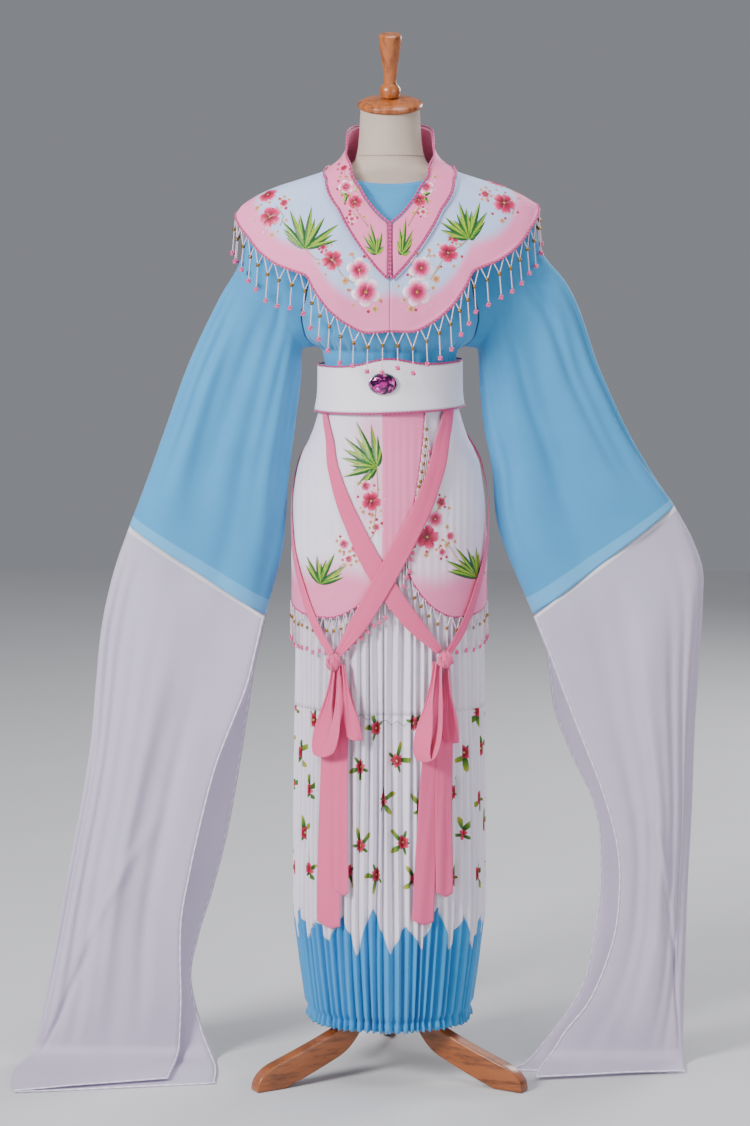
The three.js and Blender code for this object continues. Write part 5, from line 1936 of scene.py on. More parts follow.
@dataclass
class Girdle:
    """The stiff white waistband with its piping and the oval stone in front."""

    wall: float = 1.6
    low: float = 1160.0
    high: float = 1234.0
    tilt: float = 0.034
    piping: float = 1.7
    closure: float = 0.4
    stone_x: float = -11.0
    stone_z: float = 1204.0
    half_width: float = 23.0
    half_height: float = 17.5
    stone_height: float = 9.0

    def edge(self, angle: Array, top: bool) -> Array:
        """The height of the band's top or bottom edge.

        Args:
            angle: Degrees round the axis.
            top: Whether it is the top edge.

        Returns:
            Heights in millimetres.
        """
        x = 122 * np.cos(np.radians(angle))
        front = np.clip(np.sin(np.radians(angle)), 0, None)
        peak = 13 * np.exp(-(((x + 4) / 46) ** 2)) * front if top else 0
        return (self.high if top else self.low) + peak + self.tilt * x - 3 * front

    def stone(self) -> None:
        """The cut stone in its rim."""
        angle = WAISTBAND.angle_at(self.stone_x, self.stone_z)
        seat = WAISTBAND.lifted(angle, self.stone_z, self.wall + 1.6)
        place = Matrix.Translation(Vector(to_frame(seat))) @ Matrix.Rotation(math.pi / 2 + 0.05, 4, "X")
        place = place @ Matrix.Diagonal((1, self.half_height / self.half_width, 1, 1))
        w, h = self.half_width, self.stone_height
        rim = [
            (w * 1.0, 0), (w * 1.05, 0.4), (w * 1.075, 1.3), (w * 1.05, 2.2), (w * 1.0, 2.7), (w * 0.96, 2.6)
        ]
        finished(turned_part(rim, 64), "stone_setting_metal", SILVER, place, 50, ["stone_setting"])
        rings = [
            (0.97, 3.1, 0), (0.97, 4.2, 0), (0.86, 6.0, 0.5), (0.7, 7.4, 0), (0.5, 8.5, 0.5), (0.28, 9.0, 0)
        ]
        sides = 13
        points, faces = [], []
        for radius, z, turn in rings:
            a = (np.arange(sides) + turn) * math.tau / sides
            points.append(np.stack([w * radius * np.cos(a), w * radius * np.sin(a), np.full(sides, z)], -1))
        for row in range(len(rings) - 1):
            shift = int(rings[row + 1][2] - rings[row][2] < 0)
            for k in range(sides):
                low, low_next = (row * sides + (k + n) % sides for n in (0, 1))
                high, high_next = ((row + 1) * sides + (k + n) % sides for n in (shift, shift + 1))
                if rings[row + 1][2] == rings[row][2]:
                    faces.append([low, low_next, high_next, high])
                else:
                    faces += [[low, low_next, high], [low_next, high_next, high]]
        faces += [list(range(sides))[::-1], [(len(rings) - 1) * sides + k for k in range(sides)]]
        points = np.concatenate(points) * MM
        obj = mesh_object("girdle_stone_cut", points, faces, [GEM])
        obj.data.transform(place)
        # A random tone for each facet picks its painted reflection, from painted shade to a painted
        # highlight.
        write_values(obj, "tone", np.random.default_rng(SEED + 4).random(len(faces)), "FACE")
        settle(obj, ["girdle_stone"])

    def build(self) -> None:
        """Make the band, its piping and the stone."""
        angle = np.linspace(-90 + self.closure, 270 - self.closure, 240)
        v = np.linspace(0, 1, 22)[:, None]
        z = mix(self.edge(angle, False), self.edge(angle, True), v)
        grid = WAISTBAND.lifted(np.broadcast_to(angle, z.shape), z, np.full(z.shape, self.wall))
        ripple = 0.35 * np.sin(np.radians(angle) * 9) * np.sin(math.pi * v)
        grid = pushed(grid, ripple, axis_hub)
        cloth(
            "girdle_cloth", grid, WHITE_SATIN, ["girdle"],
            ["blouse_front_cloth", "skirt_upper_cloth"], wall=self.wall,
        )
        for word, row, inside in (("top", -1, -2), ("bottom", 0, 1)):
            line = beside(grid[row], grid[inside], self.piping + 0.3)
            tube("girdle_cord_" + word, line, self.piping, ROSE_CORD, ["girdle_piping_" + word])
        self.stone()


# Angle and height
CAPE_HEM = [
    (-90, 1292), (-83, 1290), (-77, 1303), (-70, 1331), (-65, 1362), (-61, 1390), (-58, 1395), (-50, 1407),
    (-40, 1429), (-29, 1459), (-14, 1484), (0, 1496), (14, 1484), (29, 1459), (40, 1429), (50, 1407),
    (58, 1395), (61, 1390), (65, 1362), (70, 1331), (77, 1305), (83, 1293), (90, 1295),
]
# Angle, and the heights of the inner and the outer edge
COLLAR = [
    (-90, 1632, 1562), (-45, 1631, 1562), (-10, 1622, 1562), (0, 1612, 1561), (14, 1592, 1559),
    (22, 1582, 1556), (47, 1564, 1543), (56, 1555, 1533), (70, 1537, 1497), (75, 1527, 1466),
    (81, 1504, 1426), (86, 1480, 1397), (90, 1466, 1377),
]
HEM_CURVE = Curve.through(CAPE_HEM, 1)
COLLAR_INNER = Curve.through(COLLAR, 1)
COLLAR_OUTER = Curve.through(COLLAR, 2)


@dataclass
class Cape:
    """The shoulder cape: two fronts and a back, dyed pink along a lobed hem hung with beads."""

    sway: float = 0.03
    tuck: float = 5.0
    piping: float = 1.7
    wall: float = 1.2

    def part(self, name: str, side: Side, start: float, end: float, columns: int) -> Piece:
        """One piece of the cape, with its piping and its beads.

        Args:
            name: Its name, after the node's.
            side: The side that its angles are given for.
            start: The first angle.
            end: The last angle.
            columns: How many columns its grid has.

        Returns:
            The piece.
        """
        angle = np.linspace(start, end, columns)
        folded = np.where(angle < -90, -180 - angle, angle)
        sign = np.where(angle < -90, -1, side.value)
        hem = HEM_CURVE(folded) + self.sway * sign * 260 * np.cos(np.radians(folded))
        top = COLLAR_OUTER(folded) + self.tuck
        v = np.linspace(0, 1, 64)[:, None]
        z = mix(hem, top, v)
        around = np.broadcast_to(sided(angle, side), z.shape)
        grid = SHAWL.lifted(around, z, np.zeros(z.shape))
        waves = 0.7 * np.sin(np.radians(folded) * 13 + 3 * v) * (1 - v) ** 2 * smoothstep(v, 0, 0.05)
        grid = pushed(grid, waves - 0.7 * (1 - v) ** 2 * smoothstep(v, 0, 0.05), axis_hub)
        steps = np.linalg.norm(np.diff(grid, axis=0), axis=-1)
        down = np.concatenate([np.zeros((1, columns)), np.cumsum(steps, axis=0)])
        width = np.interp(np.abs(folded), [0, 25, 50, 62, 75, 90], [46, 52, 46, 40, 48, 62])
        cloudy = 2.5 * np.sin(np.radians(folded) * 13) + 2 * np.sin(np.radians(folded) * 7)
        dye = 1 - smoothstep(down - width - cloudy, -15, 13)
        piece = cloth(
            name + "_cloth", grid, CAPE_SATIN, [name],
            ["blouse_front_cloth", "sleeve_right_cloth", "sleeve_left_cloth"],
            wall=self.wall, attributes={"dye": dye},
        )
        line = beside(grid[0], grid[2], self.piping + 0.3)
        tube(name.replace("cape", "cape_piping"), line, self.piping, ROSE_CORD)
        fringe = name.replace("cape", "cape_fringe")
        over = (Rest(BLOUSE, 6.5, 1420), Rest(WAISTBAND, 5.0, 1240))
        BeadFringe(24, 24, 36, 5.0, over).build(fringe + "_beads", beside(grid[0], grid[2], 2.4), [fringe])
        return piece

    def build(self) -> dict[str, Piece]:
        """Make the fronts and the back.

        Returns:
            The pieces by name.
        """
        return {
            "cape_front_right": self.part("cape_front_right", Side.RIGHT, 0.15, 89.98, 120),
            "cape_front_left": self.part("cape_front_left", Side.LEFT, 0.15, 89.98, 120),
            "cape_back": self.part("cape_back", Side.LEFT, -179.85, -0.15, 230),
        }


@dataclass
class Collar:
    """The shawl collar that stands round the neck and meets in a point in front."""

    lift: float = 1.8
    wall: float = 1.4
    piping: float = 1.7
    gap: float = 0.75

    def half(self, side: Side) -> Piece:
        """One half of the collar, with the piping all round it.

        Args:
            side: Which half.

        Returns:
            The half.
        """
        angle = np.linspace(-89.9, 90 - self.gap, 190)
        v = np.linspace(0, 1, 30)[:, None]
        z = mix(COLLAR_OUTER(angle), COLLAR_INNER(angle), v)
        around = np.broadcast_to(sided(angle, side), z.shape)
        grid = SHAWL.lifted(around, z, np.full(z.shape, self.lift + self.wall))
        grid = pushed(grid, 0.6 * np.sin(math.pi * v) * np.ones(z.shape), axis_hub)
        piece = cloth(
            f"collar_{side.word}_cloth", grid, PINK_SATIN, ["collar_" + side.word],
            [f"cape_front_{side.word}_cloth"], wall=self.wall,
        )
        shown = SHAWL.lifted(around, z, np.full(z.shape, self.lift + 3.1))
        edge = np.concatenate([shown[-1], shown[::-1, -1][1:], shown[0, ::-1][1:]])
        inner = np.concatenate([shown[-2], shown[::-1, -2][1:], shown[1, ::-1][1:]])
        line = evenly(beside(edge, inner, self.piping + 0.8), 260)
        tube("collar_cord_" + side.word, line, self.piping, ROSE_CORD, ["collar_piping_" + side.word])
        return piece

    def build(self) -> dict[str, Piece]:
        """Make both halves.

        Returns:
            The pieces by name.
        """
        return {f"collar_{side.word}": self.half(side) for side in Side}


# Ribbons


# x, height and width along the strap, and its distance from the skirt
STRAPS = {
    "strap_from_right": (
        [(-104, 1172, 13), (-95, 1096, 17), (-64, 980, 27), (-26, 900, 31), (32, 812, 28), (80, 755.5, 12)],
        9.2,
    ),
    "strap_from_left": (
        [(94, 1176, 27), (78, 1080, 29), (44, 980, 30), (0, 894, 31), (-48, 806, 28), (-81, 751.5, 12)], 11.4
    ),
}
# Angle, height and width along the strap
HIP_STRAP = [
    (-34, 1166, 14), (-18, 1100, 14), (-2, 1020, 14), (12, 940, 15), (27, 868, 16), (43, 796, 16),
    (55.6, 750, 11),
]


@dataclass(frozen=True)
class Loop:
    """A hanging loop of a bow."""

    top_x: float
    bottom_x: float
    bottom_z: float
    width: float
    twist: float
    spread: float
    turn: float
    open: float


@dataclass(frozen=True)
class Tail:
    """A hanging end of a bow."""

    top_x: float
    bottom_x: float
    bottom_z: float
    width: float
    lift: float


@dataclass
class Bow:
    """A ribbon tied in a bow on the skirt: a knot, two loops and two tails."""

    side: Side
    knot_x: float
    knot_z: float
    loops: tuple[Loop, Loop]
    tails: tuple[Tail, Tail]
    stand_off: float = 18.5
    knot_off: float = 17.0

    def front(self, x: Array, z: Array, lift: Array) -> Array:
        """Points in front of the skirt at x and z."""
        return SKIRT.lifted(SKIRT.angle_at(x, z), z, lift)

    def loop(self, number: int, loop: Loop) -> None:
        """A loop: a drop-shaped ring of ribbon, turned so that its opening shows.

        Args:
            number: Its number on the bow.
            loop: Its sizes.
        """
        top = self.knot_z - 3
        t = np.linspace(0, 1, 110)[:, None]
        k = np.linspace(0, 1, 20)[None, :]
        fall = np.clip(np.sin(math.pi * t), 0, 1)
        turn = math.radians(loop.turn) + 0.35 * np.cos(math.pi * t) * np.sign(loop.twist)
        z = mix(top, loop.bottom_z, fall ** 0.75)
        across = -np.cos(math.pi * t) * loop.open * mix(0.3, 1.25, fall) * np.sign(loop.twist)
        wide = loop.width * mix(0.22, 1, smoothstep(fall, 0.02, 0.75))
        side = (k - 0.5) * wide
        x = mix(loop.top_x, loop.bottom_x, fall) + across * np.cos(turn)
        grid = self.front(x + 0 * k, z + 0 * k, 0 * z + 0 * k)
        pinch = 1 - smoothstep(fall, 0.1, 0.8)
        gathers = pinch * (1.3 * np.sin(17 * k + 3 * t) + 0.9 * np.sin(9 * k + 5 * t + 1))
        soft = 1.6 * fall * np.sin(math.pi * k) ** 2 + 0.8 * np.sin(7 * k + 8 * t)
        reach = mix(14, self.stand_off + loop.spread * 0.6, smoothstep(fall, 0, 0.35))
        depth = reach + across * np.sin(turn) * 0.8
        grid[..., 0] += side * np.sin(turn) + 0.6 * gathers
        grid[..., 1] -= np.maximum(depth + side * np.cos(turn) * 0.8 + gathers + soft, 3.0)
        grid[..., 2] += 0.16 * side * np.sign(loop.twist) - 3.0 * np.sin(math.pi * k) * fall**3
        name = f"bow_loop_{self.side.word}_{number}"
        cloth(
            name + "_cloth", grid, RIBBON, [name], [f"bow_knot_{self.side.word}_cloth"],
            hub=row_hub, wall=0.8,
        )

    def tail(self, number: int, tail: Tail) -> None:
        """A hanging end, cut on the slant.

        Args:
            number: Its number on the bow.
            tail: Its sizes.
        """
        top = self.knot_z - 8
        u, v = np.meshgrid(np.linspace(0, 1, 16), np.linspace(0, 1, 90))
        wide = tail.width * mix(0.3, 1, smoothstep(v, 0, 0.3))
        z = mix(top, tail.bottom_z, v) + 16 * np.abs(u - 0.62) * smoothstep(v, 0.93, 1)
        x = mix(tail.top_x, tail.bottom_x, v) + (u - 0.5) * wide + 1.5 * np.sin(5 * v + number)
        soft = 0.8 * np.sin(math.tau * u * 1.3 + 4 * v + number) * smoothstep(v, 0, 0.15)
        soft += 0.5 * np.sin(9 * v)
        gathers = 1.2 * (1 - smoothstep(v, 0, 0.25)) * np.sin(math.tau * 3 * u)
        grid = SKIRT.lifted(SKIRT.angle_at(x, z), z, tail.lift + 1 + np.clip(soft + gathers, -0.4, 3))
        name = f"bow_tail_{self.side.word}_{number}"
        cloth(
            name + "_cloth", grid, RIBBON, [name], [f"bow_knot_{self.side.word}_cloth"], wall=0.8
        )

    def knot(self) -> None:
        """The knot: a ball of ribbon wrapped across itself."""
        obj = primitive("uv_sphere", segments=48, ring_count=28, radius=1)
        points = read_points(obj)
        slant = points[:, 2] + 0.35 * points[:, 0]
        turn = np.arctan2(points[:, 1], points[:, 0])
        wraps = 1 + 0.1 * np.cos(7 * slant) * np.abs(np.cos(2 * slant))
        wraps += 0.06 * np.cos(5 * turn + 4 * slant)
        points *= wraps[:, None] * np.array([13.4, 11.2, 14.2])
        points += self.front(self.knot_x, self.knot_z, self.knot_off)
        write_points(obj, to_frame(points))
        name = f"bow_knot_{self.side.word}"
        obj.name = obj.data.name = name + "_cloth"
        obj.data.materials.append(Wardrobe.get(RIBBON))
        obj.data.shade_smooth()
        settle(obj, [name])

    def build(self) -> None:
        """Make the bow."""
        self.knot()
        for number, loop in enumerate(self.loops, 1):
            self.loop(number, loop)
        for number, tail in enumerate(self.tails, 1):
            self.tail(number, tail)


@dataclass
class Ribbons:
    """The straps that cross over the hips, and the bows that they end in."""

    wall: float = 0.8
    per_degree: float = 2.6

    def strap(self, name: str, rows: Sequence[Sequence[float]], by_x: bool, lift: float) -> None:
        """A strap along rows of x or angle, height and width.

        Args:
            name: Its node's name.
            rows: The rows.
            by_x: Whether the first column is x rather than the angle.
            lift: Its distance from the skirt.
        """
        table = []
        for i, (first, z, width) in enumerate(rows):
            angle = float(SKIRT.angle_at(first, z)) if by_x else first
            table.append((i / (len(rows) - 1), angle, z, width))
        angle, z, width = (Curve.through(table, k) for k in (1, 2, 3))
        u, v = np.meshgrid(np.linspace(0, 1, 14), np.linspace(0, 1, 130))
        before, after = np.maximum(0, v - 0.02), np.minimum(1, v + 0.02)
        run = self.per_degree * (angle(after) - angle(before))
        fall = z(after) - z(before)
        length = np.hypot(run, fall)
        side = (u - 0.5) * width(v)
        turned = angle(v) - fall / length * side / self.per_degree
        height = z(v) + run / length * side
        soft = 0.7 * np.abs(np.sin(math.pi * (u * 1.5 + 1.2 * v))) + 0.35 * np.sin(11 * v)
        gathers = 0.8 * smoothstep(v, 0.8, 1) * (1 + np.sin(math.tau * 3 * u))
        grid = SKIRT.lifted(turned, height, lift + 0.9 + soft * 0.7 + gathers)
        cloth(
            name + "_cloth", grid, RIBBON, [name],
            ["hip_panel_front_right_cloth", "hip_panel_front_left_cloth"], wall=self.wall,
        )

    def build(self) -> None:
        """Make the straps and the bows."""
        for name, (rows, lift) in STRAPS.items():
            self.strap(name, rows, True, lift)
        for side in Side:
            rows = [(float(sided(angle, side)), z, width) for angle, z, width in HIP_STRAP]
            self.strap("hip_strap_" + side.word, rows, False, 9.2)
        Bow(
            Side.RIGHT, -87, 738,
            (Loop(-92, -112, 580, 40, 0.45, 12, 40, 19), Loop(-78, -58, 612, 27, -0.25, 4, 84, 3)),
            (Tail(-92, -103, 278, 40, 0.9), Tail(-80, -82, 338, 26, 3)),
        ).build()
        Bow(
            Side.LEFT, 86, 742,
            (Loop(79, 60, 576, 40, 0.45, 12, 34, 22), Loop(94, 104, 604, 26, -0.4, 5, 70, 8)),
            (Tail(80, 56, 288, 36, 0.9), Tail(93, 90, 334, 28, 3)),
        ).build()


# Beads


@dataclass(frozen=True)
class Rest:
    """A surface that hanging beads rest on, up to a height."""

    surface: Surface
    lift: float
    top: float = 9000.0

    def outside(self, points: Array) -> Array:
        """The points, those inside the surface moved out to it.

        Args:
            points: The points.

        Returns:
            The moved points.
        """
        z = points[:, 2]
        lift = self.lift - 40 * smoothstep(z, self.top, self.top + 60)
        wide = self.surface.size(0, z) + lift
        deep = np.where(points[:, 1] < 0, self.surface.size(1, z), self.surface.size(2, z)) + lift
        share = np.hypot(points[:, 0] / wide, points[:, 1] / deep)
        moved = points.copy()
        moved[:, :2] /= np.clip(share, 0.5, 1)[:, None]
        return moved


class BeadKit:
    """The beads, each modelled once and copied."""

    made: dict[str, Model] = {}

    @classmethod
    def ball(cls, radius: float, slot: int) -> Model:
        """A small round bead about its own middle."""
        return Model.of(primitive("uv_sphere", segments=8, ring_count=6, radius=radius), slot)

    @classmethod
    def string(cls, length: float, beads: int, radius: float, slot: int) -> Model:
        """A string of beads hanging down from its root, waisted between them.

        Args:
            length: Its length.
            beads: How many beads it has.
            radius: Their radius.
            slot: Their material slot.

        Returns:
            The model.
        """
        waist = radius * 0.5
        obj = primitive("circle", vertices=6, radius=waist, fill_type="NGON")
        in_edit(obj)
        half_bead = -length / beads * 0.5
        for _ in range(beads):
            next_ring(half_bead, radius / waist)
            next_ring(half_bead, waist / radius)
        out_of_edit()
        return Model.of(obj, slot)

    @classmethod
    def get(cls, name: str) -> Model:
        """A bead by name: leg, drop, gold or drop_end.

        Args:
            name: Its name.

        Returns:
            The model.
        """
        if not cls.made:
            cls.made["leg"] = cls.string(1.0, 8, 1.25, 0)
            cls.made["drop"] = cls.string(1.0, 9, 1.35, 0)
            cls.made["gold"] = cls.ball(3.5, 1)
            pink = cls.ball(2.2, 2)
            rings = [(-2.4, 0.0), (-5.7, math.pi / 3)]
            cluster = []
            for z, turn in rings:
                for a in (turn, turn + 2.09, turn + 4.19):
                    spot = np.array([2.3 * math.cos(a), 2.3 * math.sin(a), z])
                    cluster.append(pink.placed(np.eye(3), spot))
            cls.made["drop_end"] = gathered(cluster)
        return cls.made[name]


@dataclass
class BeadFringe:
    """A net of beads along an edge: two white legs to a gold bead, a white string and a pink cluster."""

    pitch: float
    net: float
    drop: float
    out: float
    over: tuple[Rest, ...] = ()
    flat: float = 1.0

    def rested(self, points: Array) -> Array:
        """The points, moved out to rest on what the fringe hangs over.

        Args:
            points: The points.

        Returns:
            The moved points.
        """
        for rest in self.over:
            points = rest.outside(points)
        return points

    def hung(self, name: str, start: Array, end: Array) -> Model:
        """A string of beads from one point to another, bent over what it rests on.

        Args:
            name: The kind of string.
            start: Where it hangs from.
            end: Where it ends.

        Returns:
            The string.
        """
        length = float(np.linalg.norm(end - start))
        model = BeadKit.get(name).placed(facing(end - start) @ np.diag([1, 1, length]), start)
        share = (model.points - start) @ (end - start) / length**2
        spine = start + share[:, None] * (end - start)
        model.points = model.points + self.rested(spine) - spine
        return model

    def build(self, name: str, line: Array, nodes: Sequence[str]) -> None:
        """Make the fringe.

        Args:
            name: The piece's name.
            line: The edge, in millimetres.
            nodes: The nodes that it stands for.
        """
        total = along(line)[-1]
        count = max(1, round(total / self.pitch))
        at = along(line)
        rng = np.random.default_rng(SEED + len(name) + count)

        def spot(distance: float) -> Array:
            """The point of the edge at a distance along it."""
            return np.array([np.interp(distance, at, line[:, k]) for k in range(3)])

        parts = []
        for i in range(count):
            middle = (i + 0.5) * total / count
            reach = 0.42 * total / count
            away = unit(spot(middle) * [1, 1, 0])
            laid = np.stack([np.cross(away, [0, 0, 1.0]), away * self.flat, [0, 0, 1.0]], -1)
            gold = spot(middle) + away * self.out * 0.35 + [0, 0, -self.net * (1 + 0.06 * rng.normal())]
            end = gold + away * self.out * 0.65 + [0, 0, -self.drop * (1 + 0.05 * rng.normal())]
            for root in (spot(max(0, middle - reach)), spot(min(total, middle + reach))):
                parts.append(self.hung("leg", root, gold))
            parts.append(BeadKit.get("gold").placed(laid, self.rested(gold[None])[0]))
            parts.append(self.hung("drop", gold, end))
            parts.append(BeadKit.get("drop_end").placed(laid, self.rested(end[None])[0]))
        model_object(name, gathered(parts), [WHITE_BEAD, GOLD_BEAD, PINK_BEAD], nodes)


# Embroidery


class Motif(Enum):
    """The embroidered shapes, with the slot of each."""

    RED_FLOWER = 0
    PALE_FLOWER = 1
    LEAF = 2
    STEM = 3
    BUD = 4
    SEQUIN = 5


THREADS = (PETAL, PALE_PETAL, LEAF, STEM, BUD, WHITE_BEAD)


class Stitches:
    """The embroidered shapes, each modelled once on a flat hoop and copied."""

    made: dict[str, Model] = {}

    @classmethod
    def disc(cls, lobes: float, deep: float) -> Model:
        """A round or lobed shape of radius 1, raised between its lobes' edges.

        Args:
            lobes: Half the number of lobes, or 0 for a round shape.
            deep: How deep the notches between them are.

        Returns:
            The model.
        """
        obj = primitive("circle", vertices=40 if lobes else 14, radius=1, fill_type="NGON")
        in_edit(obj)
        for _ in range(4 if lobes else 2):
            bpy.ops.mesh.inset(thickness=0.2 if lobes else 0.3)
        bpy.ops.mesh.poke()
        bpy.ops.object.mode_set(mode="OBJECT")
        points = read_points(obj)
        radius = np.hypot(points[:, 0], points[:, 1])
        angle = np.arctan2(points[:, 1], points[:, 0])
        open_part = np.abs(np.cos(lobes * angle)) ** 0.55 if lobes else np.ones(len(points))
        points[:, :2] *= (1 - deep * (1 - open_part) * np.clip(radius, 0, 1))[:, None]
        domed = 0.13 * np.sin(math.pi * np.clip(radius, 0, 1) * 0.8 + 0.3)
        points[:, 2] = domed * (0.35 + 0.65 * open_part)
        points[radius > 0.97, 2] = 0
        write_points(obj, points)
        return Model.of(obj, 0, lambda p: np.clip(np.hypot(p[:, 0], p[:, 1]), 0, 1))

    @classmethod
    def blade(cls) -> Model:
        """A pointed leaf from (0, 0) to (0, 1), one half darker than the other.

        Returns:
            The model.
        """
        obj = primitive("grid", x_subdivisions=5, y_subdivisions=11, size=1)
        points = read_points(obj)
        v = points[:, 1] + 0.5
        wide = np.sin(math.pi * np.clip(v, 0, 1) ** 0.75) ** 0.9 + 0.02
        across = points[:, 0] * 2
        write_points(obj, np.stack([across * wide, v, 0.35 * (1 - np.abs(across)) * wide], -1))
        model = Model.of(obj, Motif.LEAF.value)
        model.tones = np.clip(0.5 + 0.45 * across, 0, 1)
        return model

    @classmethod
    def get(cls, name: str) -> Model:
        """A shape by name: flower, bud or leaf.

        Args:
            name: Its name.

        Returns:
            The model.
        """
        if not cls.made:
            cls.made["flower"] = cls.disc(2.5, 0.38)
            cls.made["bud"] = cls.disc(0, 0)
            cls.made["leaf"] = cls.blade()
        return cls.made[name]


Pixel = tuple[float, float]


@dataclass
class Spray:
    """The flowers, buds, leaves and stems sewn on one piece, at places of the 750 by 1126 frame.

    A flower has its place, radius and slot, a bunch of leaves its base and tips, and a stem its line.
    """

    name: str
    flowers: Sequence[tuple[float, float, float, int]]
    leaves: Sequence[tuple[Pixel, Sequence[Pixel]]]
    buds: Sequence[tuple[float, float, float]]
    stems: Sequence[Sequence[Pixel]]
    sequins: Sequence[Pixel] = ()
    leaf_width: float = 4.6
    raised: float = 0.35
    grown: float = 1.3
    around: int = 7

    def sewn(
        self, piece: Piece, model: Model, origin: Vector, across: Vector, up: Vector,
        size: tuple[float, float],
    ) -> Model:
        """A shape laid on the cloth.

        Args:
            piece: The cloth.
            model: The shape, flat on its hoop.
            origin: Where its own origin goes.
            across: The direction of its x.
            up: The direction of its y.
            size: How large x and y are, in millimetres.

        Returns:
            The shape in millimetres about the stand's axis.
        """
        laid = []
        for x, y, height in model.points:
            aim = origin + across * (x * size[0] * MM) + up * (y * size[1] * MM)
            place, normal, _, _ = piece.tree.find_nearest(aim)
            laid.append(np.array(place + normal * ((self.raised + height * size[0] * 0.6) * MM)))
        points = (np.array(laid) - STAND) / MM
        return Model(points, model.faces, model.slots, model.tones)

    def build(self, piece: Piece, eye: "Camera") -> None:
        """Sew the spray on a piece.

        Args:
            piece: The cloth.
            eye: The camera whose frame the places are given in.
        """
        rng = np.random.default_rng(SEED + len(self.name))
        parts: list[Model] = []

        def round_one(shape: str, x: float, y: float, radius: float, slot: int) -> None:
            """Sew one round shape.

            Args:
                shape: The shape's name.
                x: Its place across the frame.
                y: Its place down the frame.
                radius: Its radius in millimetres.
                slot: Its material slot.
            """
            found = eye.onto(piece.tree, (x, y))
            if found is None:
                LOG.info("%s: no cloth under (%.0f, %.0f)", self.name, x, y)
                return
            place, normal = found
            turn = rng.random() * math.tau
            side = normal.cross(Vector((0, 0, 1))).normalized()
            up = side.cross(normal).normalized()
            across = side * math.cos(turn) + up * math.sin(turn)
            up = across.cross(normal).normalized() * -1
            model = self.sewn(piece, Stitches.get(shape), place, across, up, (radius, radius))
            parts.append(Model(model.points, model.faces, [slot] * len(model.faces), model.tones))

        for line in self.stems:
            spots = [eye.onto(piece.tree, pixel) for pixel in line]
            points = np.array([(np.array(s[0] + s[1] * (0.5 * MM)) - STAND) / MM for s in spots if s])
            if len(points) > 1:
                parts.append(self.stem(evenly(points, 3 * len(points))))
        for x, y, radius, kind in self.flowers:
            round_one("flower", x, y, radius * self.grown, kind)
            for turn in rng.random() * math.tau + np.arange(self.around) * math.tau / self.around:
                away = radius * self.grown * (1.12 + 0.3 * rng.random()) / 1.7
                motif = (Motif.BUD, Motif.RED_FLOWER, Motif.SEQUIN)[rng.integers(3)]
                spot = (x + away * math.cos(turn), y + away * math.sin(turn))
                if motif is Motif.SEQUIN:
                    round_one("bud", *spot, 1.5, motif.value)
                else:
                    round_one("flower", *spot, 2.4 + 1.2 * rng.random(), motif.value)
        for x, y, radius in self.buds:
            round_one("flower", x, y, radius, Motif.BUD.value)
        for x, y in self.sequins:
            round_one("bud", x, y, 1.6, Motif.SEQUIN.value)
        for base, tips in self.leaves:
            start = eye.onto(piece.tree, base)
            blades = list(tips)
            for number, (x, y) in enumerate(tips):
                turn = math.radians(9 if number % 2 else -11)
                x, y = (x - base[0]) * 0.74, (y - base[1]) * 0.74
                cos, sin = math.cos(turn), math.sin(turn)
                blades.append((base[0] + x * cos - y * sin, base[1] + x * sin + y * cos))
            for number, tip in enumerate(blades):
                end = eye.onto(piece.tree, tip)
                if start is None or end is None:
                    LOG.info("%s: no cloth under a leaf at (%.0f, %.0f)", self.name, *tip)
                    continue
                up = (end[0] - start[0]).normalized()
                across = up.cross(end[1]).normalized() * (1 if number % 2 else -1)
                length = (end[0] - start[0]).length / MM
                size = (self.leaf_width, length)
                parts.append(self.sewn(piece, Stitches.get("leaf"), start[0], across, up, size))
        model_object(self.name, gathered(parts), THREADS)

    def stem(self, line: Array) -> Model:
        """A thin stem of thread along a line, with painted light and shade round it.

        Args:
            line: Its points, in millimetres.

        Returns:
            The model.
        """
        tangent = unit(np.gradient(line, axis=0))
        across = unit(np.cross(tangent, np.array([0.2, -1.0, 0.1])))
        up = np.cross(across, tangent)
        rings = [line + 0.7 * (math.cos(a) * across + math.sin(a) * up) for a in np.arange(5) * math.tau / 5]
        points = np.swapaxes(np.array(rings), 0, 1).reshape(-1, 3)
        faces = []
        for r in range(len(line) - 1):
            for c in range(5):
                n = (c + 1) % 5
                faces.append([r * 5 + c, r * 5 + n, (r + 1) * 5 + n, (r + 1) * 5 + c])
        faces += [[4, 3, 2, 1, 0], [(len(line) - 1) * 5 + k for k in range(5)]]
        # The tones round each ring are painted light and shade: palest on the side towards the key lamp,
        # darkest on the side away from it and against the cloth.
        return Model(
            points, faces, [Motif.STEM.value] * len(faces), np.tile([0, 0.4, 1, 0.6, 0.2], len(line))
        )


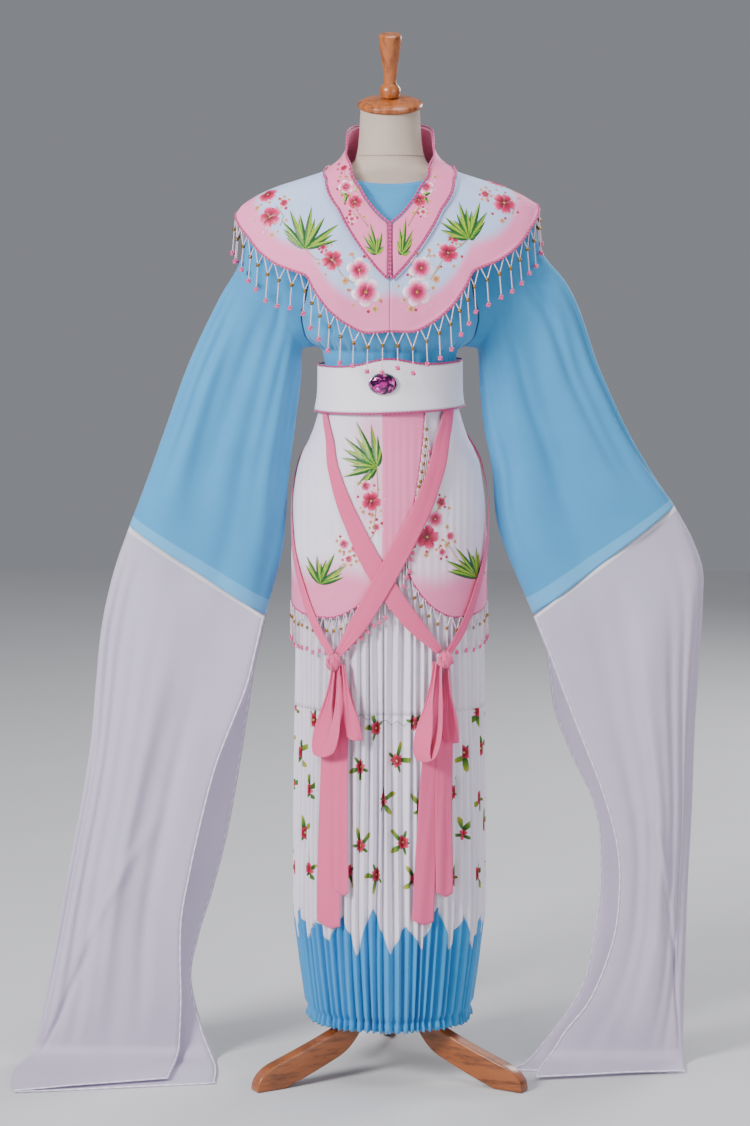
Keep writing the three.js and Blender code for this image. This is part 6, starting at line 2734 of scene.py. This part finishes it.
SPRAYS = {
    "cape_front_right": Spray(
        "cape_embroidery_right",
        [
            (268, 195, 14, 0), (270, 217, 15.5, 0), (332, 260, 15, 0), (359, 270, 16.5, 1), (366, 292, 19, 1),
            (284, 203, 6, 0), (323, 247, 5, 0),
        ],
        [
            (
                (305, 249),
                [
                    (282, 221), (290, 210), (300, 214), (312, 206), (325, 217), (339, 224), (338, 240),
                    (293, 240), (283, 229),
                ],
            )
        ],
        [
            (257, 208, 5), (272, 235, 5), (345, 281, 7), (375, 309, 6.5), (352, 254, 4), (348, 290, 4),
            (380, 300, 4), (262, 199, 4),
        ],
        [
            [(306, 250), (316, 259), (325, 261)], [(335, 264), (343, 276), (353, 283)],
            [(276, 206), (284, 216), (280, 226)], [(262, 204), (256, 211)], [(352, 255), (356, 262)],
        ],
        [(382, 288), (385, 284), (386, 290)],
    ),
    "cape_front_left": Spray(
        "cape_embroidery_left",
        [
            (496, 184, 14, 0), (504, 203, 16.5, 0), (448, 253, 14.5, 0), (421, 268, 16.5, 1),
            (417, 292, 18.5, 1), (485, 194, 6, 0), (455, 239, 5, 0),
        ],
        [
            (
                (469, 239),
                [
                    (440, 230), (445, 217), (459, 202), (466, 208), (480, 202), (487, 212), (482, 228),
                    (440, 222), (476, 236),
                ],
            )
        ],
        [
            (515, 192, 5), (502, 221, 5), (436, 279, 7.5), (411, 309, 6.5), (429, 250, 4), (404, 300, 4),
            (433, 288, 4), (489, 178, 4),
        ],
        [
            [(467, 240), (459, 247), (452, 250)], [(444, 257), (438, 268), (430, 280)],
            [(509, 196), (515, 205), (512, 214)], [(430, 251), (426, 259)],
        ],
        [(394, 288), (392, 284), (395, 292)],
    ),
    "collar_right": Spray(
        "collar_embroidery_right",
        [(355, 202, 11, 0), (346, 187, 10, 1), (344, 168, 6, 0), (352, 219, 5, 1)],
        [
            ((377, 254), [(370, 223), (363, 235), (364, 246), (369, 252), (382, 232), (384, 246)]),
            ((347, 196), [(340, 190), (344, 203)]),
        ],
        [(340, 160, 4), (364, 217, 4), (340, 177, 4), (357, 188, 4), (347, 177, 3.5)],
        [[(342, 158), (345, 172), (348, 190), (354, 205), (362, 218), (368, 226)]],
        leaf_width=3.2,
    ),
    "collar_left": Spray(
        "collar_embroidery_left",
        [(419, 200, 10.5, 0), (426, 187, 10, 1), (427, 166, 6, 0), (423, 212, 5, 1)],
        [
            ((402, 255), [(406, 217), (413, 230), (412, 243), (411, 251), (399, 235), (398, 250)]),
            ((424, 196), [(432, 190), (428, 204)]),
        ],
        [(435, 177, 4), (413, 213, 4), (432, 160, 4), (417, 185, 4), (428, 176, 3.5)],
        [[(430, 158), (428, 172), (425, 190), (420, 205), (413, 217), (408, 226)]],
        leaf_width=3.2,
    ),
    "hip_panel_front_right": Spray(
        "hip_embroidery_right",
        [
            (371, 501, 14, 0), (366, 486, 9, 1), (376, 527, 7, 1), (344, 544, 9, 1), (355, 548, 8, 1),
            (349, 559, 7, 1),
        ],
        [
            (
                (377, 467),
                [
                    (356, 421), (371, 424), (344, 437), (343, 449), (341, 458), (343, 477), (357, 486),
                    (380, 446), (362, 440),
                ],
            ),
            (
                (320, 584),
                [(307, 556), (317, 555), (335, 553), (347, 565), (344, 577), (306, 565), (326, 562)],
            ),
        ],
        [(360, 560, 4), (340, 551, 4), (372, 515, 4.5), (363, 512, 4), (337, 541, 3.5), (366, 562, 3.5)],
        [
            [(377, 468), (378, 490), (376, 510), (374, 530)], [(376, 530), (366, 546), (352, 556)],
            [(352, 557), (340, 567), (330, 578)],
        ],
    ),
    "hip_panel_front_left": Spray(
        "hip_embroidery_left",
        [(427, 537, 17, 0), (435, 519, 14, 1), (450, 536, 8, 1), (442, 552, 7, 1), (441, 502, 7, 0)],
        [
            (
                (477, 578),
                [
                    (455, 547), (467, 548), (486, 544), (483, 560), (445, 560), (447, 571), (476, 546),
                    (487, 568),
                ],
            )
        ],
        [(426, 555, 5), (447, 527, 4), (446, 545, 4), (449, 508, 3.5), (433, 500, 3.5)],
        [
            [(436, 512), (440, 504)], [(444, 540), (452, 550), (462, 566), (474, 577)],
            [(430, 548), (427, 556)],
        ],
    ),
}


# Studio


@dataclass
class Camera:
    """The camera at the photograph's viewing angle."""

    distance: float = 5.0
    height: float = 1.5
    down: float = 6.94
    pan: float = 0.292
    focal: float = 2941.0
    frame: tuple[int, int] = (750, 1126)
    sensor: float = 36.0

    def build(self) -> None:
        """Make the camera and use it."""
        data = bpy.data.cameras.new("camera")
        data.sensor_width = self.sensor
        data.lens = self.focal / max(self.frame) * self.sensor
        obj = bpy.data.objects.new("camera", data)
        bpy.context.scene.collection.objects.link(obj)
        obj.location = (STAND[0], STAND[1] - self.distance, self.height)
        obj.rotation_euler = (math.radians(90 - self.down), 0, math.radians(self.pan))
        bpy.context.scene.camera = obj
        bpy.context.view_layer.update()
        self.matrix = obj.matrix_world.copy()

    def onto(self, tree: BVHTree, pixel: Pixel) -> Optional[tuple[Vector, Vector]]:
        """The point and normal of a surface that a pixel of the frame shows, or None.

        Args:
            tree: The surface's tree.
            pixel: The pixel.

        Returns:
            The point and the normal, or None.
        """
        x, y = pixel[0] - self.frame[0] / 2, self.frame[1] / 2 - pixel[1]
        ahead = (self.matrix.to_3x3() @ Vector((x / self.focal, y / self.focal, -1))).normalized()
        place, normal, _, _ = tree.ray_cast(self.matrix.translation, ahead)
        if place is None:
            return None
        return place, (normal if normal.dot(ahead) < 0 else -normal)


@dataclass
class Studio:
    """A pale floor, a pale surround and soft lamps."""

    floor_size: float = 14.0

    def lamp(self, name: str, place: tuple[float, float, float], size: float, power: float) -> None:
        """A square soft lamp that looks at the robe's middle.

        Args:
            name: Its name.
            place: Where it stands.
            size: Its side, in metres.
            power: Its power in watts.
        """
        data = bpy.data.lights.new(name, "AREA")
        data.size, data.energy = size, power
        obj = bpy.data.objects.new(name, data)
        bpy.context.scene.collection.objects.link(obj)
        obj.location = place
        aim = Vector((0, 0, 0.95)) - Vector(place)
        obj.rotation_euler = aim.to_track_quat("-Z", "Y").to_euler()

    def build(self) -> None:
        """Make the floor, the surround and the lamps."""
        floor = primitive("plane", size=self.floor_size, location=(0, 0, -0.0005))
        floor.name = "studio_floor"
        graph = Graph("studio_floor")
        tone = graph.noise(graph.coordinates("Object"), 3.0)
        pale = graph.blend(tone, linear(0xD2D2D4), linear(0xCBCBCE))
        floor.data.materials.append(graph.output(graph.shader(Base_Color=pale, Roughness=0.9)))
        world = bpy.data.worlds.new("studio")
        bpy.context.scene.world = world
        world.use_nodes = True
        back = world.node_tree.nodes["Background"]
        back.inputs[0].default_value = linear(0xC3C6CE)
        back.inputs[1].default_value = 0.42
        self.lamp("key", (-3.6, -3.4, 3.2), 1.5, 380)
        self.lamp("fill", (3.4, -4.2, 1.8), 2.6, 85)
        self.lamp("top", (0.4, -0.4, 4.6), 2.0, 90)
        self.lamp("rim", (2.8, 3.4, 2.8), 2.0, 130)


def main() -> None:
    """Build the robe, the form and the studio, and report each piece."""
    logging.basicConfig(level=logging.INFO, format="%(message)s")
    camera = Camera()
    camera.build()
    Studio().build()
    DressForm().build()
    blouse = Blouse()
    blouse.build()
    for side, lean in ((Side.RIGHT, 62), (Side.LEFT, 46)):
        Sleeve(side, lean, blouse).build()
    Girdle().build()
    Skirt().build()
    pieces: dict[str, Piece] = {}
    for panel in (
        HipPanel(Side.RIGHT, True, 3.2, 0.12, 0.72), HipPanel(Side.LEFT, True, 3.2, 0.12, 0.72),
        HipPanel(Side.LEFT, False, 2.4, 0.6, 0.72), HipPanel(Side.RIGHT, False, 5.6, 0.02, 0.05, 14.0),
    ):
        pieces["hip_panel_" + panel.name] = panel.build()
    pieces.update(Cape().build())
    pieces.update(Collar().build())
    Ribbons().build()
    for name, spray in SPRAYS.items():
        spray.build(pieces[name], camera)


if __name__ == "__main__":
    main()
